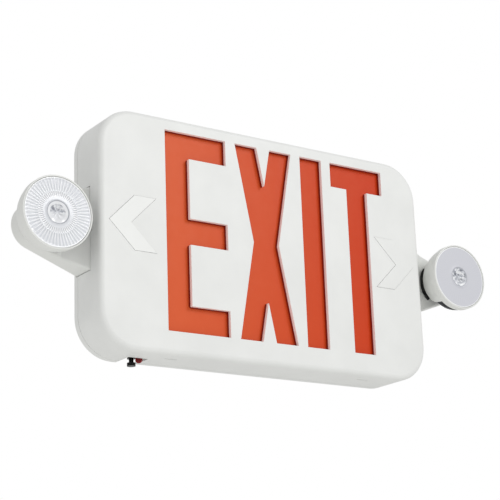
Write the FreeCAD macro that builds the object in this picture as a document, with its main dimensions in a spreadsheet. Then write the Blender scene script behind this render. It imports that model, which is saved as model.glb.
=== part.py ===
import FreeCAD, Part
import Sketcher
import math
import os

# Wall-mounted emergency exit light with two round, adjustable lamp heads.
#
# Frame: millimetres, +Z up, +X to the viewer's right, the sign faces -Y.
# Origin: the centre of the back plate's rear face, on the wall. "Forward" below means the
# distance from the wall, so a point 10 mm forward lies at Y = -10.

os.makedirs("parts", exist_ok=True)
doc = FreeCAD.newDocument("exit_light")

# ---------------------------------------------------------------------------------------
# Driving dimensions
# ---------------------------------------------------------------------------------------

DIMENSIONS = {
    # housing
    "housing_width": 293.0,
    "housing_height": 179.5,
    "housing_depth": 38.5,
    "corner_radius": 29.0,
    "front_round": 4.0,
    "cover_wall": 2.4,
    "face_wall": 4.2,
    "back_rim": 5.0,
    "plate_floor": 2.4,
    "tongue_height": 5.0,
    "tongue_wall": 1.6,
    "slip_gap": 0.3,
    "seam_groove": 0.5,
    # legend windows, letter by letter
    "legend_height": 152.4,
    "legend_shift_right": 9.5,
    "legend_shift_up": 3.8,
    "stem_width": 20.5,
    "bar_height": 20.0,
    "narrow_letter_width": 20.8,
    "first_letter_width": 53.1,
    "second_letter_width": 52.1,
    "last_letter_width": 51.3,
    "letter_gap": 8.55,
    "waist_width": 23.0,
    "notch_width": 12.0,
    "notch_depth": 30.2,
    # direction chevrons
    "chevron_reach": 139.0,
    "chevron_length": 38.4,
    "chevron_height": 41.0,
    "chevron_thickness": 17.8,
    "chevron_slot_gap": 0.2,
    "chevron_flange": 1.6,
    "chevron_flange_depth": 1.0,
    "chevron_proud": 0.25,
    # light box behind the legend and the chevrons
    "diffuser_clearance": 0.5,
    "diffuser_thickness": 1.5,
    "tray_clearance": 2.5,
    "tray_depth": 8.0,
    "tray_wall": 1.2,
    "tray_post_radius": 4.0,
    "tray_post_inset": 14.0,
    "strip_thickness": 1.6,
    "strip_width": 5.5,
    "strip_margin": 4.0,
    "emitter_size": 3.5,
    "emitter_height": 1.2,
    "emitter_pitch": 22.0,
    # charger board, transformer, battery
    "board_width": 84.0,
    "board_height": 62.0,
    "board_thickness": 1.6,
    "board_lift": 6.0,
    "board_x": 54.0,
    "board_z": -38.0,
    "board_hole_inset": 4.0,
    "transformer_width": 32.0,
    "transformer_height": 27.0,
    "transformer_depth": 10.5,
    "terminal_width": 22.0,
    "terminal_height": 10.0,
    "terminal_depth": 9.0,
    "cell_radius": 7.2,
    "cell_length": 50.0,
    "cell_count": 3.0,
    "battery_x": -62.0,
    "battery_z": 34.0,
    "strap_width": 12.0,
    "strap_thickness": 1.0,
    "strap_foot": 10.0,
    # test switch and status lamp in the bottom edge
    "test_notch_inset": 41.0,
    "test_notch_width": 16.0,
    "test_notch_reach": 19.0,
    "switch_shift": 1.5,
    "switch_forward": 11.0,
    "switch_radius": 3.0,
    "switch_height": 7.5,
    "switch_recess": 0.8,
    "button_radius": 1.7,
    "button_cap_radius": 3.1,
    "button_cap_height": 2.4,
    "button_drop": 4.5,
    "button_grip": 4.0,
    "button_travel": 1.5,
    "status_shift": 2.2,
    "status_forward": 15.6,
    "status_radius": 2.5,
    "status_drop": 1.3,
    "carrier_width": 22.0,
    # snap latches along the bottom
    "latch_spacing": 173.2,
    "latch_shift": 4.1,
    "latch_slot_length": 10.0,
    "latch_slot_width": 1.2,
    "latch_setback": 13.2,
    "latch_finger_width": 8.0,
    "latch_finger_wall": 1.5,
    # wall fixing
    "box_screw_spacing": 88.9,
    "box_screw_hole_radius": 2.4,
    "wire_entry_radius": 11.0,
    # lamp arms
    "arm_half_height": 30.9,
    "arm_front": 23.5,
    "arm_rear": 3.0,
    "arm_rear_at_tip": 6.0,
    "arm_gap": 0.6,
    "arm_root_depth": 5.0,
    "arm_edge_round": 2.0,
    "lamp_offset": 36.0,
    "arm_end_radius": 16.8,
    "pad_forward": 17.0,
    "pad_wall": 3.0,
    "arm_hollow_radius": 11.0,
    "lead_channel_width": 9.0,
    "foot_length": 18.0,
    "foot_height": 50.0,
    "foot_thickness": 2.5,
    "foot_hole_spacing": 34.0,
    # lamp heads, measured along the lamp's own axis
    "lamp_forward": 45.5,
    "tilt_pin_setback": 17.5,
    "rim_radius": 26.8,
    "rim_depth": 5.0,
    "bowl_front_radius": 26.5,
    "bowl_rear_radius": 18.2,
    "bowl_depth": 26.5,
    "bowl_curve": 27.0,
    "bowl_wall": 2.0,
    "bevel_angle": 38.0,
    "bevel_distance": 10.2,
    "lens_radius": 25.4,
    "lens_thickness": 2.0,
    "lens_recess": 0.5,
    "lens_seat": 1.2,
    "lens_rib_outer": 24.0,
    "lens_rib_middle": 15.4,
    "lens_rib_inner": 11.6,
    "lens_rib_height": 0.6,
    "lens_rib_count": 44.0,
    "optic_radius": 8.4,
    "optic_depth": 5.2,
    "optic_dimple": 4.6,
    "sink_radius": 23.4,
    "sink_depth": 5.0,
    "sink_setback": 8.0,
    "fin_gap": 0.8,
    "fin_pitch": 1.5,
    "fin_depth": 3.0,
    "lamp_board_radius": 12.0,
    "lamp_board_thickness": 1.2,
    "ear_thickness": 3.0,
    "ear_half_height": 4.5,
    "eye_radius": 4.0,
    "eye_width": 10.0,
    "tilt_pin_radius": 2.0,
    "running_gap": 0.05,
    "post_radius": 5.0,
    "collar_radius": 8.0,
    "collar_depth": 1.5,
    "bearing_gap": 0.3,
    "swivel_at_rest": -17.0,
    # screws and washers
    "screw_radius": 1.5,
    "screw_head_radius": 2.9,
    "screw_head_height": 1.8,
    "screw_grip": 5.0,
    "boss_radius": 3.4,
    "washer_radius": 7.5,
    "washer_thickness": 1.0,
}

sheet = doc.addObject("Spreadsheet::Sheet", "Sizes")
for row, (alias, number) in enumerate(DIMENSIONS.items(), start=1):
    sheet.set(f"A{row}", alias)
    sheet.set(f"B{row}", str(number))
    sheet.setAlias(f"B{row}", alias)
doc.recompute()


class Size:
    """A length worked out from the sheet: its number now, and the expression that drives it."""

    def __init__(self, value, text):
        self.value = value
        self.text = text

    def __add__(self, other):
        other = as_size(other)
        return Size(self.value + other.value, f"({self.text} + {other.text})")

    def __sub__(self, other):
        other = as_size(other)
        return Size(self.value - other.value, f"({self.text} - {other.text})")

    def __mul__(self, other):
        other = as_size(other)
        return Size(self.value * other.value, f"({self.text} * {other.text})")

    def __truediv__(self, other):
        other = as_size(other)
        return Size(self.value / other.value, f"({self.text} / {other.text})")

    def __neg__(self):
        return Size(-self.value, f"(0 - {self.text})")

    def __radd__(self, other):
        return as_size(other) + self

    def __rsub__(self, other):
        return as_size(other) - self

    def __rmul__(self, other):
        return as_size(other) * self


def as_size(number):
    return number if isinstance(number, Size) else Size(float(number), str(float(number)))


class SheetSizes:
    """Reads a driving dimension by its alias."""

    def __getattr__(self, alias):
        return Size(float(sheet.get(alias)), f"<<Sizes>>.{alias}")


S = SheetSizes()
LEFT, RIGHT = -1, 1
SIDE_NAMES = {LEFT: "left", RIGHT: "right"}
sub_parts = []

# ---------------------------------------------------------------------------------------
# Sketch and feature helpers
# ---------------------------------------------------------------------------------------


def new_body(label, several_solids=False):
    body = doc.addObject("PartDesign::Body", label)
    body.Label = label
    body.AllowCompound = several_solids
    sub_parts.append(body)
    return body


def sketch_on(body, plane, name, offset=0):
    """A sketch on one of the body's own origin planes, moved along the plane's normal."""
    sketch = body.newObject("Sketcher::SketchObject", name)
    support = next(f for f in body.Origin.OriginFeatures if f.Role == plane)
    sketch.AttachmentSupport = [(support, "")]
    sketch.MapMode = "FlatFace"
    sketch.setExpression("AttachmentOffset.Base.z", as_size(offset).text)
    return sketch


def constrain(sketch, kind, *items):
    """Adds a constraint whose last item is a Size, and ties it to the sheet."""
    size = as_size(items[-1])
    number = sketch.addConstraint(Sketcher.Constraint(kind, *items[:-1], size.value))
    if "Sizes" in size.text:
        sketch.setExpression(f"Constraints[{number}]", size.text)


def pin_point(sketch, geometry, end, x, y):
    """Fixes a point of a sketch at (x, y) from the sketch's origin."""
    for kind, axis, size in (("DistanceX", -2, as_size(x)), ("DistanceY", -1, as_size(y))):
        if "Sizes" in size.text or size.value:
            constrain(sketch, kind, -1, 1, geometry, end, size)
        else:
            sketch.addConstraint(Sketcher.Constraint("PointOnObject", geometry, end, axis))


def arc_through(start, finish, radius):
    """An arc that bulges to the left of the way from start to finish."""
    chord = finish - start
    half = chord.Length / 2
    rise = radius - math.sqrt(max(radius * radius - half * half, 0.0))
    normal = FreeCAD.Vector(-chord.y, chord.x, 0).normalize()
    return Part.Arc(start, (start + finish) / 2 + normal * rise, finish)


def outline(sketch, points, arcs=None):
    """A closed outline through the points. arcs gives, by edge number, the radius of an arc."""
    arcs = arcs or {}
    vectors = [FreeCAD.Vector(as_size(x).value, as_size(y).value, 0) for x, y in points]
    ends = []
    for number, start in enumerate(vectors):
        finish = vectors[(number + 1) % len(vectors)]
        if number in arcs:
            curve = arc_through(start, finish, arcs[number].value)
        else:
            curve = Part.LineSegment(start, finish)
        geometry = sketch.addGeometry(curve, False)
        forward = (sketch.getPoint(geometry, 1) - start).Length < 1e-6
        ends.append((geometry, 1, 2) if forward else (geometry, 2, 1))
    for number, (geometry, first, last) in enumerate(ends):
        following, following_first, _ = ends[(number + 1) % len(ends)]
        sketch.addConstraint(Sketcher.Constraint("Coincident", geometry, last, following, following_first))
        pin_point(sketch, geometry, first, *points[number])
        if number in arcs:
            constrain(sketch, "Radius", geometry, arcs[number])
    return sketch


def rectangle(sketch, low_x, high_x, low_y, high_y):
    return outline(sketch, [(low_x, low_y), (high_x, low_y), (high_x, high_y), (low_x, high_y)])


def rounded_rectangle(sketch, width, height, radius, centre_x=0, centre_y=0):
    """Four tangent arcs and four lines about a centre."""
    half_x, half_y = width / 2 - radius, height / 2 - radius
    corners = [(1, 1, 0), (-1, 1, 90), (-1, -1, 180), (1, -1, 270)]
    arcs = []
    for sign_x, sign_y, start in corners:
        middle = FreeCAD.Vector((centre_x + sign_x * half_x).value, (centre_y + sign_y * half_y).value, 0)
        circle = Part.Circle(middle, FreeCAD.Vector(0, 0, 1), radius.value)
        arc = Part.ArcOfCircle(circle, math.radians(start), math.radians(start + 90))
        arcs.append(sketch.addGeometry(arc, False))
        pin_point(sketch, arcs[-1], 3, centre_x + sign_x * half_x, centre_y + sign_y * half_y)
        constrain(sketch, "Radius", arcs[-1], radius)
    for number, arc in enumerate(arcs):
        following = arcs[(number + 1) % 4]
        line = Part.LineSegment(sketch.getPoint(arc, 2), sketch.getPoint(following, 1))
        side = sketch.addGeometry(line, False)
        sketch.addConstraint(Sketcher.Constraint("Tangent", arc, 2, side, 1))
        sketch.addConstraint(Sketcher.Constraint("Tangent", side, 2, following, 1))
    return sketch


def circles(sketch, centres, radius):
    for x, y in centres:
        x, y = as_size(x), as_size(y)
        circle = Part.Circle(FreeCAD.Vector(x.value, y.value, 0), FreeCAD.Vector(0, 0, 1), radius.value)
        geometry = sketch.addGeometry(circle, False)
        pin_point(sketch, geometry, 3, x, y)
        constrain(sketch, "Radius", geometry, radius)
    return sketch


def feature(body, kind, sketch, **settings):
    made = body.newObject(f"PartDesign::{kind}", f"{kind}_{sketch.Name}")
    made.Profile = sketch
    for name, setting in settings.items():
        if isinstance(setting, Size):
            setattr(made, name, setting.value)
            made.setExpression(name, setting.text)
        else:
            setattr(made, name, setting)
    body.Tip = made
    return made


def pad(body, sketch, length, **settings):
    """Adds material along the sketch plane's normal."""
    return feature(body, "Pad", sketch, Length=as_size(length), **settings)


def pocket(body, sketch, length, **settings):
    """Removes material against the sketch plane's normal."""
    return feature(body, "Pocket", sketch, Length=as_size(length), **settings)


def turned(body, kind, name, profile, arcs=None):
    """A Revolution or Groove about the lamp axis; the profile is (radius, forward) points."""
    sketch = sketch_on(body, "XY_Plane", name)
    outline(sketch, [(radius, -as_size(forward)) for radius, forward in profile], arcs)
    return feature(body, kind, sketch, ReferenceAxis=(sketch, ["V_Axis"]), Angle=360)


def plate(body, name, x_range, z_range, forward_range):
    """A block given by its ranges in X, Z and forward."""
    sketch = sketch_on(body, "XZ_Plane", name, forward_range[0])
    rectangle(sketch, *x_range, *z_range)
    return pad(body, sketch, as_size(forward_range[1]) - forward_range[0])


def cut_block(body, name, x_range, z_range, forward_range):
    """Removes a block given by its ranges in X, Z and forward."""
    sketch = sketch_on(body, "XZ_Plane", name, forward_range[1])
    rectangle(sketch, *x_range, *z_range)
    return pocket(body, sketch, as_size(forward_range[1]) - forward_range[0])


def round_edges(body, kind, radius, wanted):
    """Fillets or chamfers the edges of the body's tip that the test accepts."""
    doc.recompute()
    base = body.Tip
    names = [f"Edge{n}" for n, edge in enumerate(base.Shape.Edges, start=1) if wanted(edge)]
    made = body.newObject(f"PartDesign::{kind}", f"{kind}_{body.Name}_{len(body.Group)}")
    made.Base = (base, names)
    field = "Radius" if kind == "Fillet" else "Size"
    setattr(made, field, radius.value)
    made.setExpression(field, radius.text)
    body.Tip = made
    return made


def screws(label, centres, seat, length):
    """Pan-head screws with their heads' undersides at the seat and shanks towards the wall."""
    body = new_body(label, several_solids=True)
    shank = circles(sketch_on(body, "XZ_Plane", "shank", seat - length), centres, S.screw_radius)
    pad(body, shank, length)
    head = circles(sketch_on(body, "XZ_Plane", "head", seat), centres, S.screw_head_radius)
    pad(body, head, S.screw_head_height)
    return body


# ---------------------------------------------------------------------------------------
# Places shared by several sub-parts
# ---------------------------------------------------------------------------------------

half_width = S.housing_width / 2
# the lamp axes and the test notch keep their distances from the housing's sides
lamp_reach = half_width + S.lamp_offset
test_notch_x = S.test_notch_inset - half_width
switch_x = test_notch_x - S.switch_shift
status_x = test_notch_x + S.status_shift
half_height = S.housing_height / 2
inner_half_width = half_width - S.cover_wall
inner_half_height = half_height - S.cover_wall
face_rear = S.housing_depth - S.face_wall
diffuser_rear = face_rear - S.diffuser_thickness
tray_rear = diffuser_rear - S.tray_depth
tray_half_width = inner_half_width - S.tray_clearance
tray_half_height = inner_half_height - S.tray_clearance
tray_radius = S.corner_radius - S.cover_wall - S.tray_clearance
legend_width = (S.first_letter_width + S.second_letter_width + S.narrow_letter_width
                + S.last_letter_width + 3 * S.letter_gap)
tongue_inset = S.cover_wall + S.slip_gap
latch_xs = [S.latch_shift - S.latch_spacing / 2, S.latch_shift + S.latch_spacing / 2]
tray_posts = [(side * (tray_half_width - S.tray_post_inset), end * (tray_half_height - S.tray_post_inset))
              for side in (LEFT, RIGHT) for end in (-1, 1)]
board_holes = [(S.board_x + side * (S.board_width / 2 - S.board_hole_inset),
                S.board_z + end * (S.board_height / 2 - S.board_hole_inset))
               for side in (LEFT, RIGHT) for end in (-1, 1)]
battery_height = 2 * S.cell_radius * S.cell_count
strap_hole_offset = battery_height / 2 + S.slip_gap + S.strap_thickness + S.strap_foot / 2
strap_holes = [(S.battery_x, S.battery_z + end * strap_hole_offset) for end in (-1, 1)]
switch_low = S.switch_recess - half_height
carrier_z = switch_low + S.switch_height
arm_root = half_width - S.arm_root_depth


def arm_screw_places(side):
    return [(side * (arm_root - S.foot_length / 2), end * S.foot_hole_spacing / 2) for end in (-1, 1)]


# ---------------------------------------------------------------------------------------
# Housing
# ---------------------------------------------------------------------------------------


def make_back_plate():
    """Shallow tray that is screwed to the wall box and carries everything inside."""
    body = new_body("back_plate")
    rim = sketch_on(body, "XZ_Plane", "rim")
    rounded_rectangle(rim, S.housing_width, S.housing_height, S.corner_radius)
    pad(body, rim, S.back_rim)
    recess = sketch_on(body, "XZ_Plane", "recess", S.back_rim)
    rounded_rectangle(recess, S.housing_width - 2 * S.cover_wall, S.housing_height - 2 * S.cover_wall,
                      S.corner_radius - S.cover_wall)
    pocket(body, recess, S.back_rim - S.plate_floor)

    tongue = sketch_on(body, "XZ_Plane", "tongue", S.plate_floor)
    for inset in (tongue_inset, tongue_inset + S.tongue_wall):
        rounded_rectangle(tongue, S.housing_width - 2 * inset, S.housing_height - 2 * inset,
                          S.corner_radius - inset)
    pad(body, tongue, S.back_rim + S.tongue_height - S.plate_floor)

    posts = sketch_on(body, "XZ_Plane", "tray_posts", S.plate_floor)
    circles(posts, tray_posts, S.tray_post_radius)
    pad(body, posts, tray_rear - S.plate_floor)
    bosses = sketch_on(body, "XZ_Plane", "board_bosses", S.plate_floor)
    circles(bosses, board_holes, S.boss_radius)
    pad(body, bosses, S.board_lift - S.plate_floor)
    low_bosses = sketch_on(body, "XZ_Plane", "low_bosses", S.plate_floor)
    for side in (LEFT, RIGHT):
        circles(low_bosses, arm_screw_places(side), S.boss_radius)
    circles(low_bosses, strap_holes, S.boss_radius)
    pad(body, low_bosses, S.board_lift - S.plate_floor)

    for number, x in enumerate(latch_xs):
        outer = -(half_height - tongue_inset)
        plate(body, f"latch_finger_{number}",
              (x - S.latch_finger_width / 2, x + S.latch_finger_width / 2),
              (outer, outer + S.latch_finger_wall),
              (S.plate_floor, S.housing_depth - S.latch_setback + 2 * S.latch_slot_width))

    pilots = sketch_on(body, "XZ_Plane", "pilot_holes", S.board_lift)
    circles(pilots, board_holes + strap_holes + arm_screw_places(LEFT) + arm_screw_places(RIGHT),
            S.screw_radius + S.running_gap)
    pocket(body, pilots, S.screw_grip)
    tray_pilots = sketch_on(body, "XZ_Plane", "tray_pilot_holes", tray_rear)
    circles(tray_pilots, tray_posts, S.screw_radius + S.running_gap)
    pocket(body, tray_pilots, S.screw_grip)
    fixing = sketch_on(body, "XZ_Plane", "wall_fixing_holes", S.plate_floor)
    circles(fixing, [(side * S.box_screw_spacing / 2, 0) for side in (LEFT, RIGHT)],
            S.box_screw_hole_radius)
    circles(fixing, [(0, 0)], S.wire_entry_radius)
    pocket(body, fixing, S.plate_floor)

    notch = S.arm_half_height + S.arm_gap
    for side in (LEFT, RIGHT):
        cut_block(body, f"arm_notch_{SIDE_NAMES[side]}",
                  (side * (half_width - tongue_inset - S.tongue_wall), side * half_width),
                  (-notch, notch),
                  (S.plate_floor, S.back_rim + S.tongue_height))
    cut_block(body, "test_notch",
              (test_notch_x - S.test_notch_width / 2, test_notch_x + S.test_notch_width / 2),
              (-half_height, -(half_height - tongue_inset - S.tongue_wall)),
              (0, S.back_rim + S.tongue_height))
    return body


def letter_outlines():
    """The four legend windows as outlines about the legend's centre."""
    top = S.legend_height / 2
    left = -legend_width / 2
    windows = {}

    right = left + S.first_letter_width
    stem = left + S.stem_width
    middle = S.bar_height / 2
    windows["first"] = [(left, top), (right, top), (right, top - S.bar_height),
                        (stem, top - S.bar_height), (stem, middle), (right, middle),
                        (right, -middle), (stem, -middle), (stem, S.bar_height - top),
                        (right, S.bar_height - top), (right, -top), (left, -top)]

    left = right + S.letter_gap
    right = left + S.second_letter_width
    centre = (left + right) / 2
    waist = S.waist_width / 2
    notch = S.notch_width / 2
    windows["second"] = [(left, top), (centre - notch, top), (centre, top - S.notch_depth),
                         (centre + notch, top), (right, top), (centre + waist, as_size(0)),
                         (right, -top), (centre + notch, -top), (centre, S.notch_depth - top),
                         (centre - notch, -top), (left, -top), (centre - waist, as_size(0))]

    left = right + S.letter_gap
    right = left + S.narrow_letter_width
    windows["third"] = [(left, top), (right, top), (right, -top), (left, -top)]

    left = right + S.letter_gap
    right = left + S.last_letter_width
    centre = (left + right) / 2
    stem = S.stem_width / 2
    windows["fourth"] = [(left, top), (right, top), (right, top - S.bar_height),
                         (centre + stem, top - S.bar_height), (centre + stem, -top),
                         (centre - stem, -top), (centre - stem, top - S.bar_height),
                         (left, top - S.bar_height)]
    return windows


def chevron_outline(side, grow):
    """Outline of a chevron that points away from the legend, grown all round by an offset."""
    half = S.chevron_height / 2
    slant = S.chevron_length - S.chevron_thickness
    slope = slant.value / half.value
    along = grow * math.sqrt(1 + slope * slope)
    across = grow * (math.sqrt(1 + slope * slope) - slope)
    tip = S.chevron_reach + along
    inner = S.chevron_reach - S.chevron_thickness - along
    shoulder = S.chevron_reach - slant + across
    rear = S.chevron_reach - S.chevron_length - (along + grow * slope)
    z = S.legend_shift_up
    return [(side * tip, z), (side * shoulder, z + half + grow), (side * rear, z + half + grow),
            (side * inner, z), (side * rear, z - half - grow), (side * shoulder, z - half - grow)]


def make_front_cover():
    """Moulded cover: rounded shell with the legend windows, arm notches and latch slots."""
    body = new_body("front_cover")
    shell = sketch_on(body, "XZ_Plane", "shell", S.back_rim)
    rounded_rectangle(shell, S.housing_width, S.housing_height, S.corner_radius)
    pad(body, shell, S.housing_depth - S.back_rim)
    front = -S.housing_depth.value
    round_edges(body, "Fillet", S.front_round,
                lambda edge: abs(edge.BoundBox.YMin - front) < 1e-4 and edge.BoundBox.YLength < 1e-4)

    hollow = sketch_on(body, "XZ_Plane", "hollow", face_rear)
    rounded_rectangle(hollow, S.housing_width - 2 * S.cover_wall, S.housing_height - 2 * S.cover_wall,
                      S.corner_radius - S.cover_wall)
    pocket(body, hollow, face_rear - S.back_rim)

    seam = sketch_on(body, "XZ_Plane", "seam", S.back_rim + S.seam_groove)
    rounded_rectangle(seam, S.housing_width, S.housing_height, S.corner_radius)
    rounded_rectangle(seam, S.housing_width - 2 * S.seam_groove, S.housing_height - 2 * S.seam_groove,
                      S.corner_radius - S.seam_groove)
    pocket(body, seam, S.seam_groove)

    for name, points in letter_outlines().items():
        window = sketch_on(body, "XZ_Plane", f"window_{name}", S.housing_depth)
        outline(window, [(x + S.legend_shift_right, z + S.legend_shift_up) for x, z in points])
        pocket(body, window, S.face_wall)
    for side in (LEFT, RIGHT):
        slot = sketch_on(body, "XZ_Plane", f"chevron_slot_{SIDE_NAMES[side]}", S.housing_depth)
        outline(slot, chevron_outline(side, S.chevron_slot_gap))
        pocket(body, slot, S.face_wall)
        rebate = sketch_on(body, "XZ_Plane", f"chevron_rebate_{SIDE_NAMES[side]}",
                           face_rear + S.chevron_flange_depth)
        outline(rebate, chevron_outline(side, S.chevron_flange + S.chevron_slot_gap))
        pocket(body, rebate, S.chevron_flange_depth)

    notch = S.arm_half_height + S.arm_gap
    for side in (LEFT, RIGHT):
        cut_block(body, f"arm_notch_{SIDE_NAMES[side]}",
                  (side * (inner_half_width - 1), side * half_width),
                  (-notch, notch),
                  (S.back_rim, S.arm_front + S.arm_gap))
    cut_block(body, "test_notch",
              (test_notch_x - S.test_notch_width / 2, test_notch_x + S.test_notch_width / 2),
              (-half_height, -(inner_half_height - 1)),
              (S.back_rim, S.test_notch_reach))
    for number, x in enumerate(latch_xs):
        middle = S.housing_depth - S.latch_setback
        cut_block(body, f"latch_slot_{number}",
                  (x - S.latch_slot_length / 2, x + S.latch_slot_length / 2),
                  (-half_height, -(inner_half_height - 1)),
                  (middle - S.latch_slot_width / 2, middle + S.latch_slot_width / 2))
    return body


def make_chevron(side):
    """Direction chevron that snaps in from behind, with a flange in the cover's rebate."""
    body = new_body(f"chevron_{SIDE_NAMES[side]}")
    face = sketch_on(body, "XZ_Plane", "face", face_rear)
    outline(face, chevron_outline(side, as_size(0)))
    pad(body, face, S.face_wall + S.chevron_proud)
    flange = sketch_on(body, "XZ_Plane", "flange", face_rear)
    outline(flange, chevron_outline(side, S.chevron_flange))
    pad(body, flange, S.chevron_flange_depth)
    return body


# ---------------------------------------------------------------------------------------
# Light box
# ---------------------------------------------------------------------------------------


def make_diffuser():
    """Red translucent panel, as large as the cover's inside, behind the legend windows."""
    body = new_body("legend_diffuser")
    panel = sketch_on(body, "XZ_Plane", "panel", diffuser_rear)
    rounded_rectangle(panel, 2 * (inner_half_width - S.diffuser_clearance),
                      2 * (inner_half_height - S.diffuser_clearance),
                      S.corner_radius - S.cover_wall - S.diffuser_clearance)
    pad(body, panel, S.diffuser_thickness)
    return body


def make_reflector_tray():
    """White open tray that spreads the light strips' light over the diffuser."""
    body = new_body("reflector_tray")
    block = sketch_on(body, "XZ_Plane", "block", tray_rear)
    rounded_rectangle(block, 2 * tray_half_width, 2 * tray_half_height, tray_radius)
    pad(body, block, S.tray_depth)
    inside = sketch_on(body, "XZ_Plane", "inside", diffuser_rear)
    rounded_rectangle(inside, 2 * (tray_half_width - S.tray_wall), 2 * (tray_half_height - S.tray_wall),
                      tray_radius - S.tray_wall)
    pocket(body, inside, S.tray_depth - S.tray_wall)
    holes = sketch_on(body, "XZ_Plane", "screw_holes", tray_rear + S.tray_wall)
    circles(holes, tray_posts, S.screw_radius + S.running_gap)
    pocket(body, holes, S.tray_wall)
    return body


def make_light_strip(name, end):
    """Red light strip along the tray's top or bottom wall, its emitters facing inwards."""
    body = new_body(f"light_strip_{name}")
    wall = end * (tray_half_height - S.tray_wall)
    half = half_width - S.corner_radius - S.strip_margin
    low = tray_rear + S.tray_wall
    plate(body, "strip", (-half, half), (wall - end * S.strip_thickness, wall),
          (low, low + S.strip_width))
    gaps = int((2 * half.value - S.emitter_size.value) // S.emitter_pitch.value)
    emitters = sketch_on(body, "XZ_Plane", "emitters", low + S.strip_width / 2 - S.emitter_size / 2)
    for number in range(gaps + 1):
        x = S.emitter_pitch * (number - gaps / 2)
        rectangle(emitters, x - S.emitter_size / 2, x + S.emitter_size / 2,
                  wall - end * (S.strip_thickness + S.emitter_height),
                  wall - end * S.strip_thickness)
    pad(body, emitters, S.emitter_size)
    return body


# ---------------------------------------------------------------------------------------
# Charger board, battery, test switch
# ---------------------------------------------------------------------------------------


def make_charger_board():
    """Circuit board with its capacitors, relay and heat spreader."""
    body = new_body("charger_board")
    board = sketch_on(body, "XZ_Plane", "board", S.board_lift)
    rectangle(board, S.board_x - S.board_width / 2, S.board_x + S.board_width / 2,
              S.board_z - S.board_height / 2, S.board_z + S.board_height / 2)
    pad(body, board, S.board_thickness)
    top = S.board_lift + S.board_thickness
    capacitors = sketch_on(body, "XZ_Plane", "capacitors", top)
    circles(capacitors, [(S.board_x + S.board_width / 8, S.board_z + S.board_height / 4),
                         (S.board_x + S.board_width / 8, S.board_z - S.board_height / 4)],
            S.board_thickness * 3)
    pad(body, capacitors, S.transformer_depth * 0.9)
    plate(body, "relay", (S.board_x + S.board_width / 4, S.board_x + S.board_width / 4 + 15),
          (S.board_z - 9, S.board_z + 9), (top, top + S.transformer_depth * 0.8))
    holes = sketch_on(body, "XZ_Plane", "screw_holes", top)
    circles(holes, board_holes, S.screw_radius + S.running_gap)
    pocket(body, holes, S.board_thickness)
    return body


def make_transformer():
    """Mains transformer: bobbin block between two laminated flanks."""
    body = new_body("transformer")
    x = S.board_x - S.board_width / 2 + S.board_hole_inset * 2 + S.transformer_width / 2
    low = S.board_lift + S.board_thickness
    plate(body, "core", (x - S.transformer_width / 2, x + S.transformer_width / 2),
          (S.board_z - S.transformer_height / 2, S.board_z + S.transformer_height / 2),
          (low, low + S.transformer_depth * 0.8))
    bobbin = sketch_on(body, "XZ_Plane", "bobbin", low)
    rounded_rectangle(bobbin, S.transformer_width * 0.6, S.transformer_height + 8, as_size(3.0),
                      x, S.board_z)
    pad(body, bobbin, S.transformer_depth)
    return body


def make_terminal_block():
    """Three-way supply terminal beside the wire entry."""
    body = new_body("supply_terminal")
    x = S.wire_entry_radius + S.terminal_width / 2 + 4
    z = S.wire_entry_radius + S.terminal_height / 2
    plate(body, "block", (x - S.terminal_width / 2, x + S.terminal_width / 2),
          (z - S.terminal_height / 2, z + S.terminal_height / 2),
          (S.plate_floor, S.plate_floor + S.terminal_depth))
    wells = sketch_on(body, "XZ_Plane", "screw_wells", S.plate_floor + S.terminal_depth)
    circles(wells, [(x + S.terminal_width * step / 3, z) for step in (-1, 0, 1)],
            S.terminal_height * 0.22)
    pocket(body, wells, S.terminal_depth / 2)
    return body


def make_battery():
    """Row of round cells in one shrink-wrapped pack."""
    body = new_body("battery_pack")
    wrap = sketch_on(body, "YZ_Plane", "wrap", S.battery_x - S.cell_length / 2)
    forward = S.plate_floor + S.cell_radius
    for number in range(int(S.cell_count.value)):
        step = number - (int(S.cell_count.value) - 1) / 2
        z = S.battery_z + 2 * S.cell_radius * step
        if number == 0:
            low = z
        high = z
    rounded_rectangle(wrap, 2 * S.cell_radius, high - low + 2 * S.cell_radius,
                      S.cell_radius - 0.01, -forward, (high + low) / 2)
    pad(body, wrap, S.cell_length)
    return body


def make_battery_strap():
    """Bent steel strap over the battery, screwed down at both feet."""
    body = new_body("battery_strap")
    inner = battery_height / 2 + S.slip_gap
    outer = inner + S.strap_thickness
    foot = outer + S.strap_foot
    top = S.plate_floor + 2 * S.cell_radius + S.slip_gap
    low = S.board_lift
    z = S.battery_z
    profile = sketch_on(body, "YZ_Plane", "profile", S.battery_x - S.strap_width / 2)
    outline(profile, [(-low, z - foot), (-(low + S.strap_thickness), z - foot),
                      (-(low + S.strap_thickness), z - outer), (-(top + S.strap_thickness), z - outer),
                      (-(top + S.strap_thickness), z + outer), (-(low + S.strap_thickness), z + outer),
                      (-(low + S.strap_thickness), z + foot), (-low, z + foot),
                      (-low, z + inner), (-top, z + inner), (-top, z - inner), (-low, z - inner)])
    pad(body, profile, S.strap_width)
    holes = sketch_on(body, "XZ_Plane", "screw_holes", low + S.strap_thickness)
    circles(holes, strap_holes, S.screw_radius + S.running_gap)
    pocket(body, holes, S.strap_thickness)
    return body


def make_test_carrier():
    """Small board above the bottom notch that carries the test switch and the status lamp."""
    body = new_body("test_carrier")
    plate(body, "board",
          (test_notch_x - S.carrier_width / 2, test_notch_x + S.carrier_width / 2),
          (carrier_z, carrier_z + S.board_thickness),
          (S.plate_floor, S.test_notch_reach))
    return body


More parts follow.
